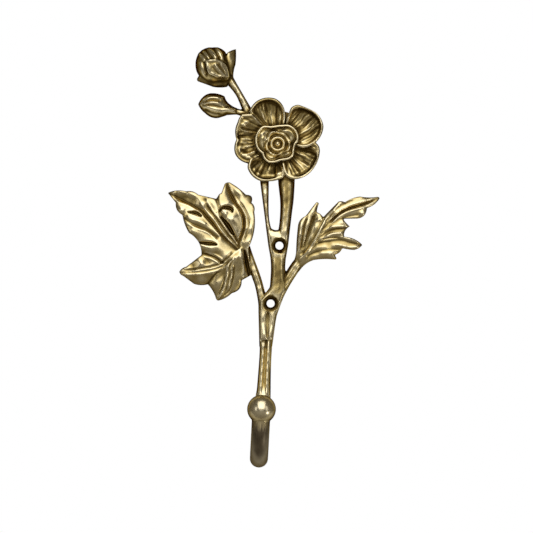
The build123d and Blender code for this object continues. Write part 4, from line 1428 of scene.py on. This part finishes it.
def panel_object(name, spot, aim, size, material, shown):
    """Flat stage panel at a spot, turned to its aim."""
    wide, tall = size[0] / 2, size[1] / 2
    mesh = bpy.data.meshes.new(name)
    corners = [(-wide, -tall, 0), (wide, -tall, 0), (wide, tall, 0), (-wide, tall, 0)]
    mesh.from_pydata(corners, [], [[0, 1, 2, 3]])
    mesh.materials.append(material)
    made = bpy.data.objects.new(name, mesh)
    made.location = spot
    made.rotation_euler = (Vector(aim) - Vector(spot)).to_track_quat("Z", "Y").to_euler()
    made.visible_camera = shown
    made.visible_shadow = shown
    made.visible_diffuse = shown
    bpy.context.scene.collection.objects.link(made)


def uneven_tone():
    """Shader group that varies a matt surface faintly between a dark and a light tone."""
    group = bpy.data.node_groups.new("uneven_tone", "ShaderNodeTree")
    for name, way in (("Dark", "INPUT"), ("Light", "INPUT"), ("Tone", "OUTPUT")):
        group.interface.new_socket(name, in_out=way, socket_type="NodeSocketColor")
    given = add_node(group, "NodeGroupInput").outputs
    noise = add_node(group, "ShaderNodeTexNoise", {"Scale": 6.0})
    inputs = {0: noise.outputs["Fac"], 6: given["Dark"], 7: given["Light"]}
    mix = add_node(group, "ShaderNodeMix", inputs, data_type="RGBA")
    add_node(group, "NodeGroupOutput", {"Tone": mix.outputs[2]})
    return group


def plain_material(name, group, colour, variation):
    """Matt stage surface with a faint unevenness."""
    made = bpy.data.materials.new(name)
    made.use_nodes = True
    tree = made.node_tree
    shader = tree.nodes["Principled BSDF"]
    shader.inputs["Roughness"].default_value = MATT_ROUGHNESS
    dark = (*[c * (1 - variation) for c in colour], 1.0)
    tone = add_node(tree, "ShaderNodeGroup", node_tree=group)
    tone.inputs["Dark"].default_value = dark
    tone.inputs["Light"].default_value = (*colour, 1.0)
    tree.links.new(tone.outputs["Tone"], shader.inputs["Base Color"])
    return made


def white_world():
    """World that is white to the camera and in reflections, and gives soft grey light."""
    world = bpy.data.worlds.new("studio")
    world.use_nodes = True
    tree = world.node_tree
    back = tree.nodes["Background"]
    back.inputs["Color"].default_value = (1.0, 1.0, 1.0, 1.0)
    rays = add_node(tree, "ShaderNodeLightPath").outputs
    seen = sum_node(tree, rays["Is Camera Ray"], rays["Is Glossy Ray"])
    seen = sum_node(tree, seen, rays["Is Transmission Ray"])
    strength = add_node(tree, "ShaderNodeMapRange", {"Value": seen, "To Min": WORLD_LIGHT, "To Max": 1.0})
    tree.links.new(strength.outputs["Result"], back.inputs["Strength"])
    bpy.context.scene.world = world


class HOOK_OT_stage(bpy.types.Operator):
    """Set up the camera, the floor, the lights and the white background."""

    bl_idname = "wall_hook.stage"
    bl_label = "Stage"

    def execute(self, context):
        stage = context.scene.hook_stage
        eye = bpy.data.cameras.new("camera")
        eye.sensor_width = 36.0
        eye.lens = eye.sensor_width * (stage.distance - PICTURE_PLANE) / stage.frame_width
        eye.clip_start, eye.clip_end = 0.05, 50.0
        made = bpy.data.objects.new("camera", eye)
        made.location = (stage.middle[0], -stage.distance, stage.middle[1])
        made.rotation_euler = (math.pi / 2, 0.0, 0.0)
        context.scene.collection.objects.link(made)
        context.scene.camera = made

        group = uneven_tone()
        pale = plain_material("pale_floor", group, FLOOR_COLOUR, FLOOR_VARIATION)
        drop = -stage.floor_drop
        span = (stage.floor_span, stage.floor_span)
        panel_object("floor", (0.0, 0.0, drop), (0.0, 0.0, drop + 1.0), span, pale, True)
        grey = plain_material("grey_flag", group, FLAG_COLOUR, FLAG_VARIATION)
        for name, spot, aim, size in FLAGS:
            panel_object(name, spot, aim, size, grey, False)
        for one in SOFTBOXES:
            softbox(*one)
        white_world()
        context.scene.view_settings.view_transform = "Standard"
        return {"FINISHED"}


class HOOK_PT_panel(bpy.types.Panel):
    """Sidebar panel that lists the steps and their sizes."""

    bl_idname = "HOOK_PT_panel"
    bl_label = "Wall hook"
    bl_space_type = "VIEW_3D"
    bl_region_type = "UI"
    bl_category = "Wall hook"

    def draw(self, context):
        layout = self.layout
        for step in OPERATORS:
            layout.operator(step.bl_idname)
        for group in (context.scene.hook_sizes, context.scene.hook_finish, context.scene.hook_stage):
            box = layout.box()
            for name in group.__annotations__:
                box.prop(group, name)


GROUPS = (HookSizes, HookFinish, HookStage)
OPERATORS = (HOOK_OT_stems, HOOK_OT_curl, HOOK_OT_leaves, HOOK_OT_flower, HOOK_OT_buds, HOOK_OT_casting,
             HOOK_OT_stage)


def register():
    """Makes the sizes, the operators and the panel known to Blender."""
    for one in (*GROUPS, *OPERATORS, HOOK_PT_panel):
        bpy.utils.register_class(one)
    bpy.types.Scene.hook_sizes = bpy.props.PointerProperty(type=HookSizes)
    bpy.types.Scene.hook_finish = bpy.props.PointerProperty(type=HookFinish)
    bpy.types.Scene.hook_stage = bpy.props.PointerProperty(type=HookStage)


def unregister():
    """Takes them away again."""
    del bpy.types.Scene.hook_sizes
    del bpy.types.Scene.hook_finish
    del bpy.types.Scene.hook_stage
    for one in reversed((*GROUPS, *OPERATORS, HOOK_PT_panel)):
        bpy.utils.unregister_class(one)


def main():
    """Builds the hook step by step."""
    register()
    bpy.ops.wall_hook.stems()
    bpy.ops.wall_hook.curl()
    bpy.ops.wall_hook.leaves()
    bpy.ops.wall_hook.flower()
    bpy.ops.wall_hook.buds()
    bpy.ops.wall_hook.casting()
    bpy.ops.wall_hook.stage()


if __name__ == "__main__":
    main()
